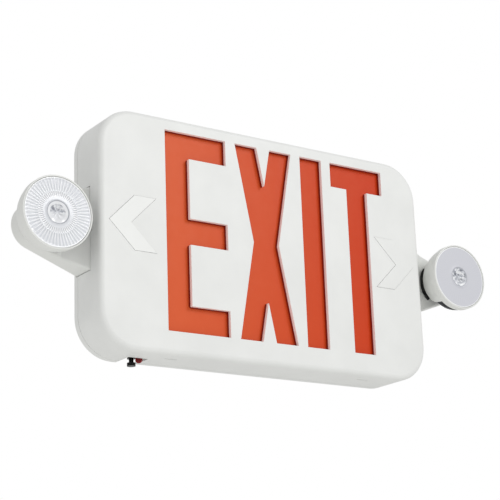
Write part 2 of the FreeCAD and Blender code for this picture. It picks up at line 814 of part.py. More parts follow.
def make_test_switch():
    """Round push switch that hangs below its carrier, with a bore for the plunger."""
    body = new_body("test_switch")
    case = sketch_on(body, "XY_Plane", "case", switch_low)
    circles(case, [(switch_x, -S.switch_forward)], S.switch_radius)
    pad(body, case, S.switch_height)
    bore = sketch_on(body, "XY_Plane", "bore", switch_low)
    circles(bore, [(switch_x, -S.switch_forward)], S.button_radius + S.running_gap)
    pocket(body, bore, S.button_grip + 2 * S.button_travel, Reversed=True)
    return body


def make_test_button():
    """Round plunger with a wider cap below the housing; it is pressed upwards."""
    body = new_body("test_button")
    low = -(half_height + S.button_drop)
    cap = sketch_on(body, "XY_Plane", "cap", low)
    circles(cap, [(switch_x, -S.switch_forward)], S.button_cap_radius)
    pad(body, cap, S.button_cap_height)
    stem = sketch_on(body, "XY_Plane", "stem", low)
    circles(stem, [(switch_x, -S.switch_forward)], S.button_radius)
    pad(body, stem, switch_low + S.button_grip - low)
    return body


def make_status_lamp():
    """Domed red indicator that points down through the bottom notch."""
    body = new_body("status_lamp")
    profile = sketch_on(body, "YZ_Plane", "profile", status_x)
    tip = -(half_height + S.status_drop)
    axis = -S.status_forward
    outline(profile, [(axis, carrier_z), (axis, tip), (axis + S.status_radius, tip + S.status_radius),
                      (axis + S.status_radius, carrier_z)], {1: S.status_radius})
    middle = sketch_on(body, "YZ_Plane", "axis", status_x)
    line = Part.LineSegment(FreeCAD.Vector(axis.value, 0, 0), FreeCAD.Vector(axis.value, 10, 0))
    geometry = middle.addGeometry(line, False)
    pin_point(middle, geometry, 1, axis, 0)
    pin_point(middle, geometry, 2, axis, 10)
    doc.recompute()
    feature(body, "Revolution", profile, ReferenceAxis=(middle, ["Edge1"]), Angle=360)
    return body


# ---------------------------------------------------------------------------------------
# Lamp arms
# ---------------------------------------------------------------------------------------


def tangent_point(start_x, start_z, centre_x, radius):
    """Where the line from a point above a circle touches it, on the outer side."""
    along, rise = centre_x - start_x, -start_z
    distance = math.hypot(along, rise)
    angle = math.atan2(rise, along) + math.asin(radius / distance)
    reach = math.sqrt(distance ** 2 - radius ** 2)
    return start_x + reach * math.cos(angle), start_z + reach * math.sin(angle)


def arm_outline(sketch, side):
    """Front view of an arm: root in the wall notch, tapering to a round end."""
    root = half_width - S.arm_root_depth
    high = S.arm_half_height
    touch_x, touch_z = tangent_point(half_width.value, high.value, lamp_reach.value,
                                     S.arm_end_radius.value)
    points = [(root.value, -high.value), (root.value, high.value), (half_width.value, high.value),
              (touch_x, touch_z), (touch_x, -touch_z), (half_width.value, -high.value)]
    vectors = [FreeCAD.Vector(side * x, z, 0) for x, z in points]
    lines = [sketch.addGeometry(Part.LineSegment(vectors[a], vectors[b]), False)
             for a, b in ((0, 1), (1, 2), (2, 3), (4, 5), (5, 0))]
    far = FreeCAD.Vector(side * (lamp_reach + S.arm_end_radius).value, 0, 0)
    arc = sketch.addGeometry(Part.Arc(vectors[3], far, vectors[4]), False)
    top_end = 1 if (sketch.getPoint(arc, 1) - vectors[3]).Length < 1e-6 else 2
    for first, second in ((0, 1), (1, 2), (3, 4), (4, 0)):
        sketch.addConstraint(Sketcher.Constraint("Coincident", lines[first], 2, lines[second], 1))
    sketch.addConstraint(Sketcher.Constraint("Tangent", lines[2], 2, arc, top_end))
    sketch.addConstraint(Sketcher.Constraint("Tangent", arc, 3 - top_end, lines[3], 1))
    pin_point(sketch, lines[0], 1, side * root, -high)
    pin_point(sketch, lines[1], 1, side * root, high)
    pin_point(sketch, lines[2], 1, side * half_width, high)
    pin_point(sketch, lines[4], 1, side * half_width, -high)
    pin_point(sketch, arc, 3, side * lamp_reach, 0)
    constrain(sketch, "Radius", arc, S.arm_end_radius)
    return sketch


def make_lamp_arm(side):
    """Hollow arm from the side of the housing to the lamp head's swivel pad."""
    body = new_body(f"lamp_arm_{SIDE_NAMES[side]}")
    pad(body, arm_outline(sketch_on(body, "XZ_Plane", "outline", S.arm_rear), side),
        S.arm_front - S.arm_rear)
    far = lamp_reach + S.arm_end_radius + 1
    pad_start = lamp_reach - S.arm_end_radius
    front = sketch_on(body, "XY_Plane", "front_slope")
    outline(front, [(side * half_width, -S.arm_front), (side * pad_start, -S.pad_forward),
                    (side * far, -S.pad_forward), (side * far, -(S.arm_front + 1)),
                    (side * half_width, -(S.arm_front + 1))])
    pocket(body, front, 3 * S.arm_half_height, Midplane=True)
    rear = sketch_on(body, "XY_Plane", "rear_slope")
    outline(rear, [(side * half_width, -S.arm_rear), (side * far, -S.arm_rear_at_tip),
                   (side * far, -S.arm_rear + 1), (side * half_width, -S.arm_rear + 1)])
    pocket(body, rear, 3 * S.arm_half_height, Midplane=True)

    wall_x = half_width.value
    pad_y = -S.pad_forward.value
    round_edges(body, "Fillet", S.arm_edge_round,
                lambda edge: min(abs(v.X) for v in edge.Vertexes) > wall_x - 1e-3
                and edge.BoundBox.ZLength > 0.5 and edge.BoundBox.XLength > 0.5
                and edge.BoundBox.YMax < pad_y + 1e-3)

    hollow = sketch_on(body, "XZ_Plane", "hollow", S.pad_forward - S.pad_wall)
    circles(hollow, [(side * lamp_reach, 0)], S.arm_hollow_radius)
    pocket(body, hollow, S.pad_forward)
    channel = sketch_on(body, "XZ_Plane", "lead_channel", S.pad_forward - S.pad_wall)
    rectangle(channel, side * (half_width - S.arm_root_depth - 1), side * lamp_reach,
              -S.lead_channel_width / 2, S.lead_channel_width / 2)
    pocket(body, channel, S.pad_forward)
    bearing = sketch_on(body, "XZ_Plane", "bearing", S.pad_forward)
    circles(bearing, [(side * lamp_reach, 0)], S.post_radius + S.running_gap)
    pocket(body, bearing, S.pad_wall)

    root = half_width - S.arm_root_depth
    plate(body, "foot", (side * (root - S.foot_length), side * (root + 1)),
          (-S.foot_height / 2, S.foot_height / 2),
          (S.board_lift, S.board_lift + S.foot_thickness))
    holes = sketch_on(body, "XZ_Plane", "foot_holes", S.board_lift + S.foot_thickness)
    circles(holes, arm_screw_places(side), S.screw_radius + S.running_gap)
    pocket(body, holes, S.foot_thickness)
    return body


# ---------------------------------------------------------------------------------------
# Lamp heads. Each piece is drawn about the tilt pin: the lamp's axis is Y with the lens
# towards -Y, the pin lies along Z, and the bevel that lets the lamp tilt faces +X.
# ---------------------------------------------------------------------------------------

lens_front = S.tilt_pin_setback
rim_rear = lens_front - S.rim_depth
bowl_rear = lens_front - S.bowl_depth
pad_level = S.pad_forward - (S.lamp_forward - S.tilt_pin_setback)
sink_front = lens_front - S.sink_setback
sink_rear = sink_front - S.sink_depth
lens_rear = lens_front - S.lens_recess - S.lens_thickness
lens_hole_radius = S.lens_radius + S.running_gap
board_front = sink_front + S.lamp_board_thickness


def place_on_arm(body, side):
    """Moves a head piece from its own frame to the end of its arm."""
    turn = FreeCAD.Rotation(FreeCAD.Vector(0, 1, 0), -S.swivel_at_rest.value)
    spot = FreeCAD.Vector(side * lamp_reach.value, -(S.lamp_forward - S.tilt_pin_setback).value, 0)
    body.Placement = FreeCAD.Placement(spot, turn)
    body.setExpression("Placement.Base.x", (side * lamp_reach).text)
    body.setExpression("Placement.Base.y", (S.tilt_pin_setback - S.lamp_forward).text)


def make_lamp_housing(side):
    """Bowl with a bevelled back, a lens rebate and two ears for the tilt pin."""
    body = new_body(f"lamp_housing_{SIDE_NAMES[side]}")
    turned(body, "Revolution", "outside",
           [(0, bowl_rear), (S.bowl_rear_radius, bowl_rear), (S.bowl_front_radius, rim_rear),
            (S.rim_radius, rim_rear), (S.rim_radius, lens_front), (0, lens_front)],
           {1: S.bowl_curve})
    inner_front = S.bowl_front_radius - S.bowl_wall
    inner_rear = S.bowl_rear_radius - S.bowl_wall
    turned(body, "Groove", "inside",
           [(0, bowl_rear - 1), (inner_rear, bowl_rear - 1), (inner_rear, bowl_rear),
            (inner_front, rim_rear), (inner_front, lens_rear),
            (lens_hole_radius, lens_rear), (lens_hole_radius, lens_front + 1), (0, lens_front + 1)],
           {2: S.bowl_curve - S.bowl_wall})

    bevel = sketch_on(body, "XY_Plane", "bevel")
    slope = math.tan(math.radians(S.bevel_angle.value))
    lean = S.bevel_distance / math.cos(math.radians(S.bevel_angle.value))
    reach = S.rim_radius + 4
    outline(bevel, [((lean + bowl_rear - 2) / slope, -(bowl_rear - 2)),
                    (reach, -(reach * slope - lean)), (reach, -(bowl_rear - 2))])
    pocket(body, bevel, 3 * S.rim_radius, Midplane=True)

    for name, low in (("upper", S.eye_width / 2 + S.bearing_gap),
                      ("lower", -(S.eye_width / 2 + S.bearing_gap + S.ear_thickness))):
        ear = sketch_on(body, "XY_Plane", f"ear_{name}", low)
        outline(ear, [(S.ear_half_height, S.ear_half_height), (S.ear_half_height, -sink_rear),
                      (-(S.sink_radius), -sink_rear),
                      (-(S.bowl_rear_radius + S.bowl_wall * 0.6), S.ear_half_height)])
        pad(body, ear, S.ear_thickness)
    pin_hole = sketch_on(body, "XY_Plane", "pin_hole")
    circles(pin_hole, [(0, 0)], S.tilt_pin_radius)
    pocket(body, pin_hole, S.eye_width + 2 * S.bearing_gap + 2 * S.ear_thickness, Midplane=True)
    place_on_arm(body, side)
    return body


def make_heat_sink(side):
    """Turned heat sink with fins round its edge, behind the light source."""
    body = new_body(f"heat_sink_{SIDE_NAMES[side]}")
    profile = [(0, sink_rear), (S.sink_radius, sink_rear)]
    for number in range(3):
        low = sink_rear + S.fin_pitch * number + (S.fin_pitch - S.fin_gap)
        profile += [(S.sink_radius, low), (S.sink_radius - S.fin_depth, low),
                    (S.sink_radius - S.fin_depth, low + S.fin_gap), (S.sink_radius, low + S.fin_gap)]
    profile += [(S.sink_radius, sink_front), (0, sink_front)]
    turned(body, "Revolution", "profile", profile)
    place_on_arm(body, side)
    return body


def make_lamp_board(side):
    """Round board with the white light source in its middle."""
    body = new_body(f"lamp_board_{SIDE_NAMES[side]}")
    emitter = S.emitter_size / 2
    turned(body, "Revolution", "profile",
           [(0, sink_front), (S.lamp_board_radius, sink_front), (S.lamp_board_radius, board_front),
            (emitter, board_front), (emitter, board_front + S.emitter_height * 0.5),
            (0, board_front + S.emitter_height * 0.5)])
    place_on_arm(body, side)
    return body


def make_lens(side):
    """Clear lens: smooth front with a central optic, radial ribs moulded on the inside."""
    body = new_body(f"lamp_lens_{SIDE_NAMES[side]}")
    front = lens_front - S.lens_recess
    optic_rear = lens_rear - (S.optic_depth - S.lens_thickness)
    turned(body, "Revolution", "profile",
           [(0, optic_rear), (S.optic_dimple * 0.6, optic_rear), (S.optic_radius, lens_rear),
            (S.lens_radius, lens_rear), (S.lens_radius, front), (S.optic_radius, front),
            (S.optic_dimple, front - S.lens_thickness * 0.3), (0, front - S.lens_thickness * 0.55)])
    base = body.Tip
    for name, inner, outer, share in (("outer", S.lens_rib_middle, S.lens_rib_outer, 0.5),
                                      ("inner", S.lens_rib_inner, S.lens_rib_middle - 0.6, 0.42)):
        rib = sketch_on(body, "XZ_Plane", f"rib_{name}", lens_rear)
        half_angle = math.pi / S.lens_rib_count.value * share
        outline(rib, [(inner, -inner * math.tan(half_angle)), (outer, -outer * math.tan(half_angle)),
                      (outer, outer * math.tan(half_angle)), (inner, inner * math.tan(half_angle))])
        one = pad(body, rib, S.lens_rib_height, Reversed=True)
        ring = body.newObject("PartDesign::PolarPattern", f"ribs_{name}")
        ring.Originals = [one]
        ring.Axis = (rib, ["N_Axis"])
        ring.Angle = 360
        ring.Occurrences = int(S.lens_rib_count.value)
        ring.setExpression("Occurrences", S.lens_rib_count.text)
        body.Tip = ring
    place_on_arm(body, side)
    return body


def make_tilt_pin(side):
    body = new_body(f"tilt_pin_{SIDE_NAMES[side]}")
    length = S.eye_width + 2 * (S.bearing_gap + S.ear_thickness)
    rod = sketch_on(body, "XY_Plane", "rod", -length / 2)
    circles(rod, [(0, 0)], S.tilt_pin_radius)
    pad(body, rod, length)
    place_on_arm(body, side)
    return body


def make_swivel_post(side):
    """Turned post: spigot in the arm's pad, collar, neck, and the eye for the tilt pin."""
    body = new_body(f"swivel_post_{SIDE_NAMES[side]}")
    spigot_rear = pad_level - S.pad_wall - S.bearing_gap
    collar_rear = pad_level + S.bearing_gap
    turned(body, "Revolution", "profile",
           [(0, spigot_rear), (S.post_radius, spigot_rear), (S.post_radius, collar_rear),
            (S.collar_radius, collar_rear), (S.collar_radius, collar_rear + S.collar_depth),
            (S.eye_width / 2, collar_rear + S.collar_depth), (S.eye_width / 2, as_size(0)), (0, 0)])
    eye = sketch_on(body, "XY_Plane", "eye")
    circles(eye, [(0, 0)], S.eye_radius)
    pad(body, eye, S.eye_width, Midplane=True)
    bore = sketch_on(body, "XY_Plane", "pin_bore")
    circles(bore, [(0, 0)], S.tilt_pin_radius + S.running_gap)
    pocket(body, bore, 2 * S.eye_width, Midplane=True)
    thread = sketch_on(body, "XZ_Plane", "screw_bore", spigot_rear)
    circles(thread, [(0, 0)], S.screw_radius + S.running_gap)
    pocket(body, thread, S.screw_grip, Reversed=True)
    place_on_arm(body, side)
    return body


def make_swivel_washer(side):
    body = new_body(f"swivel_washer_{SIDE_NAMES[side]}")
    front = pad_level - S.pad_wall - S.bearing_gap
    turned(body, "Revolution", "profile",
           [(S.screw_radius + S.running_gap, front - S.washer_thickness),
            (S.washer_radius, front - S.washer_thickness), (S.washer_radius, front),
            (S.screw_radius + S.running_gap, front)])
    place_on_arm(body, side)
    return body


def make_swivel_screw(side):
    body = new_body(f"swivel_screw_{SIDE_NAMES[side]}")
    seat = pad_level - S.pad_wall - S.bearing_gap - S.washer_thickness
    turned(body, "Revolution", "profile",
           [(0, seat - S.screw_head_height), (S.screw_head_radius, seat - S.screw_head_height),
            (S.screw_head_radius, seat), (S.screw_radius, seat),
            (S.screw_radius, seat + S.washer_thickness + S.screw_grip - 0.5),
            (0, seat + S.washer_thickness + S.screw_grip - 0.5)])
    place_on_arm(body, side)
    return body


# ---------------------------------------------------------------------------------------
# Build everything, check it and write one STEP file for each sub-part
# ---------------------------------------------------------------------------------------

make_back_plate()
make_front_cover()
make_diffuser()
make_reflector_tray()
make_light_strip("top", 1)
make_light_strip("bottom", -1)
make_charger_board()
make_transformer()
make_terminal_block()
make_battery()
make_battery_strap()
make_test_carrier()
make_test_switch()
make_test_button()
make_status_lamp()
screws("tray_screws", tray_posts, tray_rear + S.tray_wall, S.screw_grip)
screws("board_screws", board_holes, S.board_lift + S.board_thickness, S.screw_grip)
screws("strap_screws", strap_holes, S.board_lift + S.strap_thickness, S.screw_grip)
for hand in (LEFT, RIGHT):
    make_chevron(hand)
    make_lamp_arm(hand)
    screws(f"arm_screws_{SIDE_NAMES[hand]}", arm_screw_places(hand),
           S.board_lift + S.foot_thickness, S.screw_grip)
    make_swivel_post(hand)
    make_swivel_washer(hand)
    make_swivel_screw(hand)
    make_lamp_housing(hand)
    make_tilt_pin(hand)
    make_heat_sink(hand)
    make_lamp_board(hand)
    make_lens(hand)

doc.recompute()
faults = [f"{item.Label}: {item.State}" for item in doc.Objects
          if "Invalid" in item.State or "Error" in item.State]
for body in sub_parts:
    if body.Shape.isNull() or not body.Shape.isValid():
        faults.append(f"{body.Label}: shape is null or invalid")
if faults:
    raise RuntimeError("; ".join(faults))
for body in sub_parts:
    body.Shape.exportStep(os.path.join("parts", f"{body.Label}.step"))
    print(f"{body.Label}: {len(body.Shape.Solids)} solid, {body.Shape.Volume / 1000:.2f} cm3")
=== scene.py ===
# %% [markdown]
# # Emergency exit light
# This lesson dresses a wall-mounted exit sign with two adjustable lamp heads. The solid parts come
# ready made, in metres, with +Z up and the sign facing -Y. What is left to do is what gives the
# sign its look: moulded plastics, a red light panel, two ribbed lenses, soft light and a camera.
# Each code cell makes one thing and prints what it made.

# %% Load the solid parts
import math

import bmesh
import bpy
from mathutils import Matrix, Vector


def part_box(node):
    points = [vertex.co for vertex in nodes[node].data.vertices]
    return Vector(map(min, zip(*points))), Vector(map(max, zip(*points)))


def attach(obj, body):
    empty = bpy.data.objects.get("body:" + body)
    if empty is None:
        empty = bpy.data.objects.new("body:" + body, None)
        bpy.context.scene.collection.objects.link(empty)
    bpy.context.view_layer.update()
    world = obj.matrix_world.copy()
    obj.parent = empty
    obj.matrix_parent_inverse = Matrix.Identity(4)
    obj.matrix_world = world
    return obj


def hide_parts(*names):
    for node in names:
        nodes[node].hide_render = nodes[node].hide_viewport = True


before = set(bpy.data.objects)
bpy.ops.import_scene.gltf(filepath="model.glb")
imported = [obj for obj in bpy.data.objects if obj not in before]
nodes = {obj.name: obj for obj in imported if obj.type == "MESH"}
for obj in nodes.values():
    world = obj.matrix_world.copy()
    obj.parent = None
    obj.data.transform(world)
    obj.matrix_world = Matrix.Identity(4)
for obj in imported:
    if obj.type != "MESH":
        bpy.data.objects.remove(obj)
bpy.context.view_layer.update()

# %% [markdown]
# ## Working in real sizes and real colours
# Patterns are easiest to judge when they are worked out from millimetres. The parts' coordinates
# are metres, so a texture whose cells should measure some millimetres needs a thousand divided by
# that number as its scale. Colours are noted as sRGB hex values, the way a colour chart gives
# them, and one function turns them into the linear values that the shaders want.

# %% Helpers for millimetres and colours
MM = 0.001


def scale_for(size_mm):
    """Texture scale at which one cell of the pattern measures size_mm."""
    return 1000.0 / size_mm


def linear(hex_value):
    """Linear RGBA from an sRGB hex value such as e8e9e7."""
    channels = [int(hex_value[i:i + 2], 16) / 255 for i in (0, 2, 4)]
    return tuple(c / 12.92 if c <= 0.04045 else ((c + 0.055) / 1.055) ** 2.4
                 for c in channels) + (1.0,)


print("housing white in linear light:", [round(c, 3) for c in linear("e9eae8")])

# %% [markdown]
# ## One function that adds a node
# A material is a small graph. This function adds a node of any kind, sets its own properties,
# fills its inputs with plain values, and links those inputs that are given an output instead.
# A second function opens a new material with its Principled shader and its object coordinates.

# %% Helpers for materials
def add_node(tree, kind, inputs=None, **settings):
    """Adds a node; inputs maps a socket's name or number to a value or another node's output."""
    made = tree.nodes.new(kind)
    for key, value in settings.items():
        setattr(made, key, value)
    for key, value in (inputs or {}).items():
        if isinstance(value, bpy.types.NodeSocket):
            tree.links.new(value, made.inputs[key])
        else:
            made.inputs[key].default_value = value
    return made


def new_material(name):
    """Returns the material, its tree, its Principled shader and its object coordinates."""
    material = bpy.data.materials.new(name)
    material.use_nodes = True
    tree = material.node_tree
    shader = tree.nodes["Principled BSDF"]
    place = add_node(tree, "ShaderNodeTexCoord").outputs["Object"]
    return material, tree, shader, place


def two_tone(tree, shader, pattern, low, high, start=0.35, end=0.65):
    """Lets a pattern between 0 and 1 move the base colour from one hex value to another."""
    ramp = add_node(tree, "ShaderNodeValToRGB", {0: pattern})
    first, last = ramp.color_ramp.elements
    first.position, last.position = start, end
    first.color, last.color = linear(low), linear(high)
    tree.links.new(ramp.outputs[0], shader.inputs["Base Color"])
    return ramp


def rough_between(tree, shader, pattern, low, high):
    """Lets a pattern move the roughness between two values."""
    span = add_node(tree, "ShaderNodeMapRange", {"Value": pattern, "To Min": low, "To Max": high})
    tree.links.new(span.outputs[0], shader.inputs["Roughness"])


def bump_from(tree, shader, height, depth_mm, strength=1.0):
    """Lets a pattern between 0 and 1 press the surface in and out by depth_mm."""
    bump = add_node(tree, "ShaderNodeBump",
                    {"Height": height, "Distance": depth_mm * MM, "Strength": strength})
    tree.links.new(bump.outputs[0], shader.inputs["Normal"])


print("helpers ready")

# %% [markdown]
# ## The moulded housing plastic
# Housing, cover and chevron plugs are injection-moulded flame-retardant ABS. The steel mould is
# spark eroded, which leaves a fine grain that turns a gloss into a satin. Real grain is about
# 0.15 mm across; it is drawn here at 0.5 mm, as fine as still shows from a step away. Slow flow
# marks, some 40 mm long, vary the white by a shade, and handling leaves it a little uneven in
# gloss. The index of refraction of ABS is about 1.53. The lamp heads come from a smoother mould
# and the reflector tray from a duller one.

# %% Spark-eroded white ABS
FLOW_MARK_MM, HAND_MARK_MM = 40, 18


def moulded_abs(name, shade, light, grain_mm, rough_low, rough_high, grain_depth_mm):
    """White moulded ABS: flow marks in the colour, grain in the bump, handling in the gloss."""
    material, tree, shader, place = new_material(name)
    flow = add_node(tree, "ShaderNodeTexNoise",
                    {"Vector": place, "Scale": scale_for(FLOW_MARK_MM), "Detail": 3.0,
                     "Roughness": 0.55})
    grain = add_node(tree, "ShaderNodeTexNoise",
                     {"Vector": place, "Scale": scale_for(grain_mm), "Detail": 2.0,
                      "Roughness": 0.6})
    handling = add_node(tree, "ShaderNodeTexNoise",
                        {"Vector": place, "Scale": scale_for(HAND_MARK_MM), "Detail": 4.0,
                         "Roughness": 0.6})
    two_tone(tree, shader, flow.outputs[0], shade, light)
    rough_between(tree, shader, handling.outputs[0], rough_low, rough_high)
    bump_from(tree, shader, grain.outputs[0], grain_depth_mm, 0.5)
    shader.inputs["IOR"].default_value = 1.53
    return material


SPARK_ERODED = {"grain_mm": 0.5, "rough_low": 0.38, "rough_high": 0.5, "grain_depth_mm": 0.02}
SATIN = {"grain_mm": 0.4, "rough_low": 0.32, "rough_high": 0.44, "grain_depth_mm": 0.012}
MATTE = {"grain_mm": 0.6, "rough_low": 0.55, "rough_high": 0.7, "grain_depth_mm": 0.015}
white_abs = moulded_abs("spark_eroded_white_abs", "e6e7e5", "ebecea", **SPARK_ERODED)
lamp_abs = moulded_abs("satin_white_abs", "e2e3e0", "e7e8e5", **SATIN)
tray_abs = moulded_abs("matte_white_reflector_abs", "f0f0ee", "f5f5f3", **MATTE)
print("white plastics:", white_abs.name, lamp_abs.name, tray_abs.name)

# %% [markdown]
# ## Walls of the letter windows
# The cover's face is 4.2 mm thick, so each letter has white walls. Light and shade on them are
# painted into the cover's colour: the deep part next to the red panel is painted a dark, saturated
# red for the shade there and the red light that the panel throws back, and the part near the face
# is painted paler than the cover for light that spreads inside the white plastic. The cover gets a
# material of its own for this: it finds the walls by their place within the legend and by normals
# that don't face forward. The left chevron's plug is a separate moulding; its colour is painted a
# shade whiter than the cover, for the extra light that its slightly tilted face catches.

# %% Painted light and shade on the window walls
LEGEND_MIDDLE_X, LEGEND_HALF_WIDTH = 9.5, 105.0
LEGEND_MIDDLE_Z, LEGEND_HALF_HEIGHT = 3.8, 79.0
FACE_Y, FACE_WALL = -38.5, 4.2
PAINTED_RED_SHADE_MM, PAINTED_SHADE_BLUR_MM = 1.7, 0.4
SIDEWAYS = 0.5


def paint_light_and_shade_on_window_walls(material):
    """Paints light and shade on the walls: pale glow near the face, dark red shade by the panel.
    """
    tree = material.node_tree
    shader = tree.nodes["Principled BSDF"]
    own_colour = shader.inputs["Base Color"].links[0].from_socket
    coords = add_node(tree, "ShaderNodeTexCoord")
    place = add_node(tree, "ShaderNodeSeparateXYZ", {0: coords.outputs["Object"]})
    facing = add_node(tree, "ShaderNodeSeparateXYZ", {0: coords.outputs["Normal"]})
    walls = 1.0
    for value, middle, reach in ((place.outputs[0], LEGEND_MIDDLE_X * MM, LEGEND_HALF_WIDTH * MM),
                                 (place.outputs[2], LEGEND_MIDDLE_Z * MM, LEGEND_HALF_HEIGHT * MM),
                                 (facing.outputs[1], 0.0, SIDEWAYS)):
        within = add_node(tree, "ShaderNodeMath", {0: value, 1: middle, 2: reach},
                          operation="COMPARE")
        walls = add_node(tree, "ShaderNodeMath", {0: walls, 1: within.outputs[0]},
                         operation="MULTIPLY").outputs[0]
    painted_shade_from = (FACE_Y + FACE_WALL - PAINTED_RED_SHADE_MM) * MM
    depth = add_node(tree, "ShaderNodeMapRange", {"Value": place.outputs[1], "From Min": painted_shade_from,
                                                  "From Max": painted_shade_from + PAINTED_SHADE_BLUR_MM * MM})
    # Painted light and shade: a pale glow near the face, dark red shade and red bounce light deep
    # down.
    wall = add_node(tree, "ShaderNodeMix", {0: depth.outputs[0], 6: linear("fbf6f4"),
                                            7: linear("8c0e08")}, data_type="RGBA")
    colour = add_node(tree, "ShaderNodeMix", {0: walls, 6: own_colour, 7: wall.outputs[2]},
                      data_type="RGBA")
    tree.links.new(colour.outputs[2], shader.inputs["Base Color"])


# The left chevron's plug is painted a shade whiter than the cover, for the extra light its face
# catches.
plug_abs_painted_lighter = moulded_abs("spark_eroded_white_abs_plug", "edeeec", "f1f2f0", **SPARK_ERODED)
cover_abs = moulded_abs("spark_eroded_white_abs_cover", "e6e7e5", "ebecea", **SPARK_ERODED)
paint_light_and_shade_on_window_walls(cover_abs)
print("red on the inner", PAINTED_RED_SHADE_MM, "mm of each wall of", cover_abs.name)

# %% [markdown]
# ## The red light panel
# Behind the cut-out letters lies a sheet of red, light-spreading acrylic. Unlit, it looks like a
# satin red plate. Its pigment is milky. A ramp along the sign's length paints light into its
# colour: paler towards the end from which light washes across it, deeper at the far end. A fine
# noise carries the milky mottle. About 2 mm round each letter's wall little light gets into the
# sheet, so an ambient occlusion node paints shade there and deepens the red. Acrylic has an index
# of refraction of 1.49. Its specular level is kept low, because the sheet lies deep behind the
# cover.

# %% Red diffusing acrylic
EDGE_SHADE_MM, MOTTLE_MM, MOTTLE_SHARE = 2.2, 6, 0.12
LIT_END_MM, DIM_END_MM = -90, 110


def red_acrylic():
    """Milky red sheet, its colour painted paler at the lit end and deeper at the far end."""
    material, tree, shader, place = new_material("red_diffusing_acrylic")
    axes = add_node(tree, "ShaderNodeSeparateXYZ", {0: place})
    # Painted light: a wash of light along the sign, paler at one end and deeper at the other.
    along = add_node(tree, "ShaderNodeMapRange",
                     {"Value": axes.outputs[0], "From Min": LIT_END_MM * MM,
                      "From Max": DIM_END_MM * MM})
    mottle = add_node(tree, "ShaderNodeTexNoise",
                      {"Vector": place, "Scale": scale_for(MOTTLE_MM), "Detail": 3.0})
    shift = add_node(tree, "ShaderNodeMath", {0: mottle.outputs[0], 1: MOTTLE_SHARE},
                     operation="MULTIPLY")
    level = add_node(tree, "ShaderNodeMath", {0: along.outputs[0], 1: shift.outputs[0]},
                     operation="ADD")
    sheet = two_tone(tree, shader, level.outputs[0], "dc5c2c", "ce3c08", 0.05, 1.05)
    # Painted shade: the red darkens about 2 mm round each letter's wall, where little light gets
    # in.
    near_edge = add_node(tree, "ShaderNodeAmbientOcclusion", {"Distance": EDGE_SHADE_MM * MM},
                         samples=8)
    open_part = add_node(tree, "ShaderNodeMapRange", {"Value": near_edge.outputs["AO"],
                                                      "From Min": 0.5, "From Max": 0.8})
    shaded = add_node(tree, "ShaderNodeMix", {0: open_part.outputs[0], 6: linear("8c1c0a"),
                                              7: sheet.outputs[0]}, data_type="RGBA")
    tree.links.new(shaded.outputs[2], shader.inputs["Base Color"])
    grain = add_node(tree, "ShaderNodeTexNoise",
                     {"Vector": place, "Scale": scale_for(0.8), "Detail": 2.0})
    bump_from(tree, shader, grain.outputs[0], 0.01, 0.4)
    rough_between(tree, shader, mottle.outputs[0], 0.34, 0.46)
    shader.inputs["IOR"].default_value = 1.49
    shader.inputs["Specular IOR Level"].default_value = 0.2
    return material


red_panel = red_acrylic()
print("light panel:", red_panel.name)

# %% [markdown]
# ## Metals
# Screws, pins and straps are steel with a bright zinc plating, which grows in small crystals
# called spangle, here 2 mm across. The heat sink is aluminium, turned and then dark anodised, and
# the turning leaves rings about 0.3 mm apart, drawn at 0.8 mm so that they show. The transformer
# is a stack of lacquered silicon-steel sheets, each 0.5 mm thick, drawn at 1 mm for the same
# reason. Metals keep the shader's own index of refraction.

# %% Zinc-plated steel, anodised aluminium and laminated steel
def zinc_plated_steel():
    """Bright plated steel with a crystal pattern in colour and gloss."""
    material, tree, shader, place = new_material("zinc_plated_steel")
    spangle = add_node(tree, "ShaderNodeTexVoronoi", {"Vector": place, "Scale": scale_for(2)})
    shade = add_node(tree, "ShaderNodeSeparateColor", {0: spangle.outputs["Color"]})
    two_tone(tree, shader, shade.outputs[0], "b4b8bc", "d2d4d2", 0.1, 0.9)
    rough_between(tree, shader, shade.outputs[1], 0.24, 0.4)
    shader.inputs["Metallic"].default_value = 1.0
    return material


def anodised_aluminium():
    """Dark oxide over turned metal."""
    material, tree, shader, place = new_material("dark_anodised_aluminium")
    rings = add_node(tree, "ShaderNodeTexWave", {"Vector": place, "Scale": scale_for(0.8) / 20,
                                                 "Distortion": 0.4}, wave_type="BANDS",
                     bands_direction="Z")
    cloud = add_node(tree, "ShaderNodeTexNoise",
                     {"Vector": place, "Scale": scale_for(5), "Detail": 4.0})
    two_tone(tree, shader, cloud.outputs[0], "3c3e40", "505255")
    rough_between(tree, shader, cloud.outputs[0], 0.34, 0.5)
    bump_from(tree, shader, rings.outputs[1], 0.02, 0.5)
    shader.inputs["Metallic"].default_value = 0.85
    return material


def laminated_steel():
    """Stacked sheets under clear lacquer."""
    material, tree, shader, place = new_material("lacquered_silicon_steel")
    sheets = add_node(tree, "ShaderNodeTexWave", {"Vector": place, "Scale": scale_for(1) / 20},
                      wave_type="BANDS", bands_direction="Y")
    two_tone(tree, shader, sheets.outputs[1], "35363a", "55575c", 0.2, 0.8)
    rough_between(tree, shader, sheets.outputs[1], 0.35, 0.55)
    bump_from(tree, shader, sheets.outputs[1], 0.08)
    shader.inputs["Metallic"].default_value = 0.8
    return material


zinc, anodised, laminated = zinc_plated_steel(), anodised_aluminium(), laminated_steel()
print("metals:", zinc.name, anodised.name, laminated.name)

# %% [markdown]
# ## Circuit boards, terminal and battery
# Boards are glass-epoxy laminate under green solder mask: the copper tracks below stand out as
# paler lines, here on a 2.5 mm grid, and the mask is glossy with a faint orange peel. The terminal
# is natural nylon, dull and slightly waxy. The cells are wrapped in shrunk PVC film, glossy, with
# shallow wrinkles about 8 mm long.

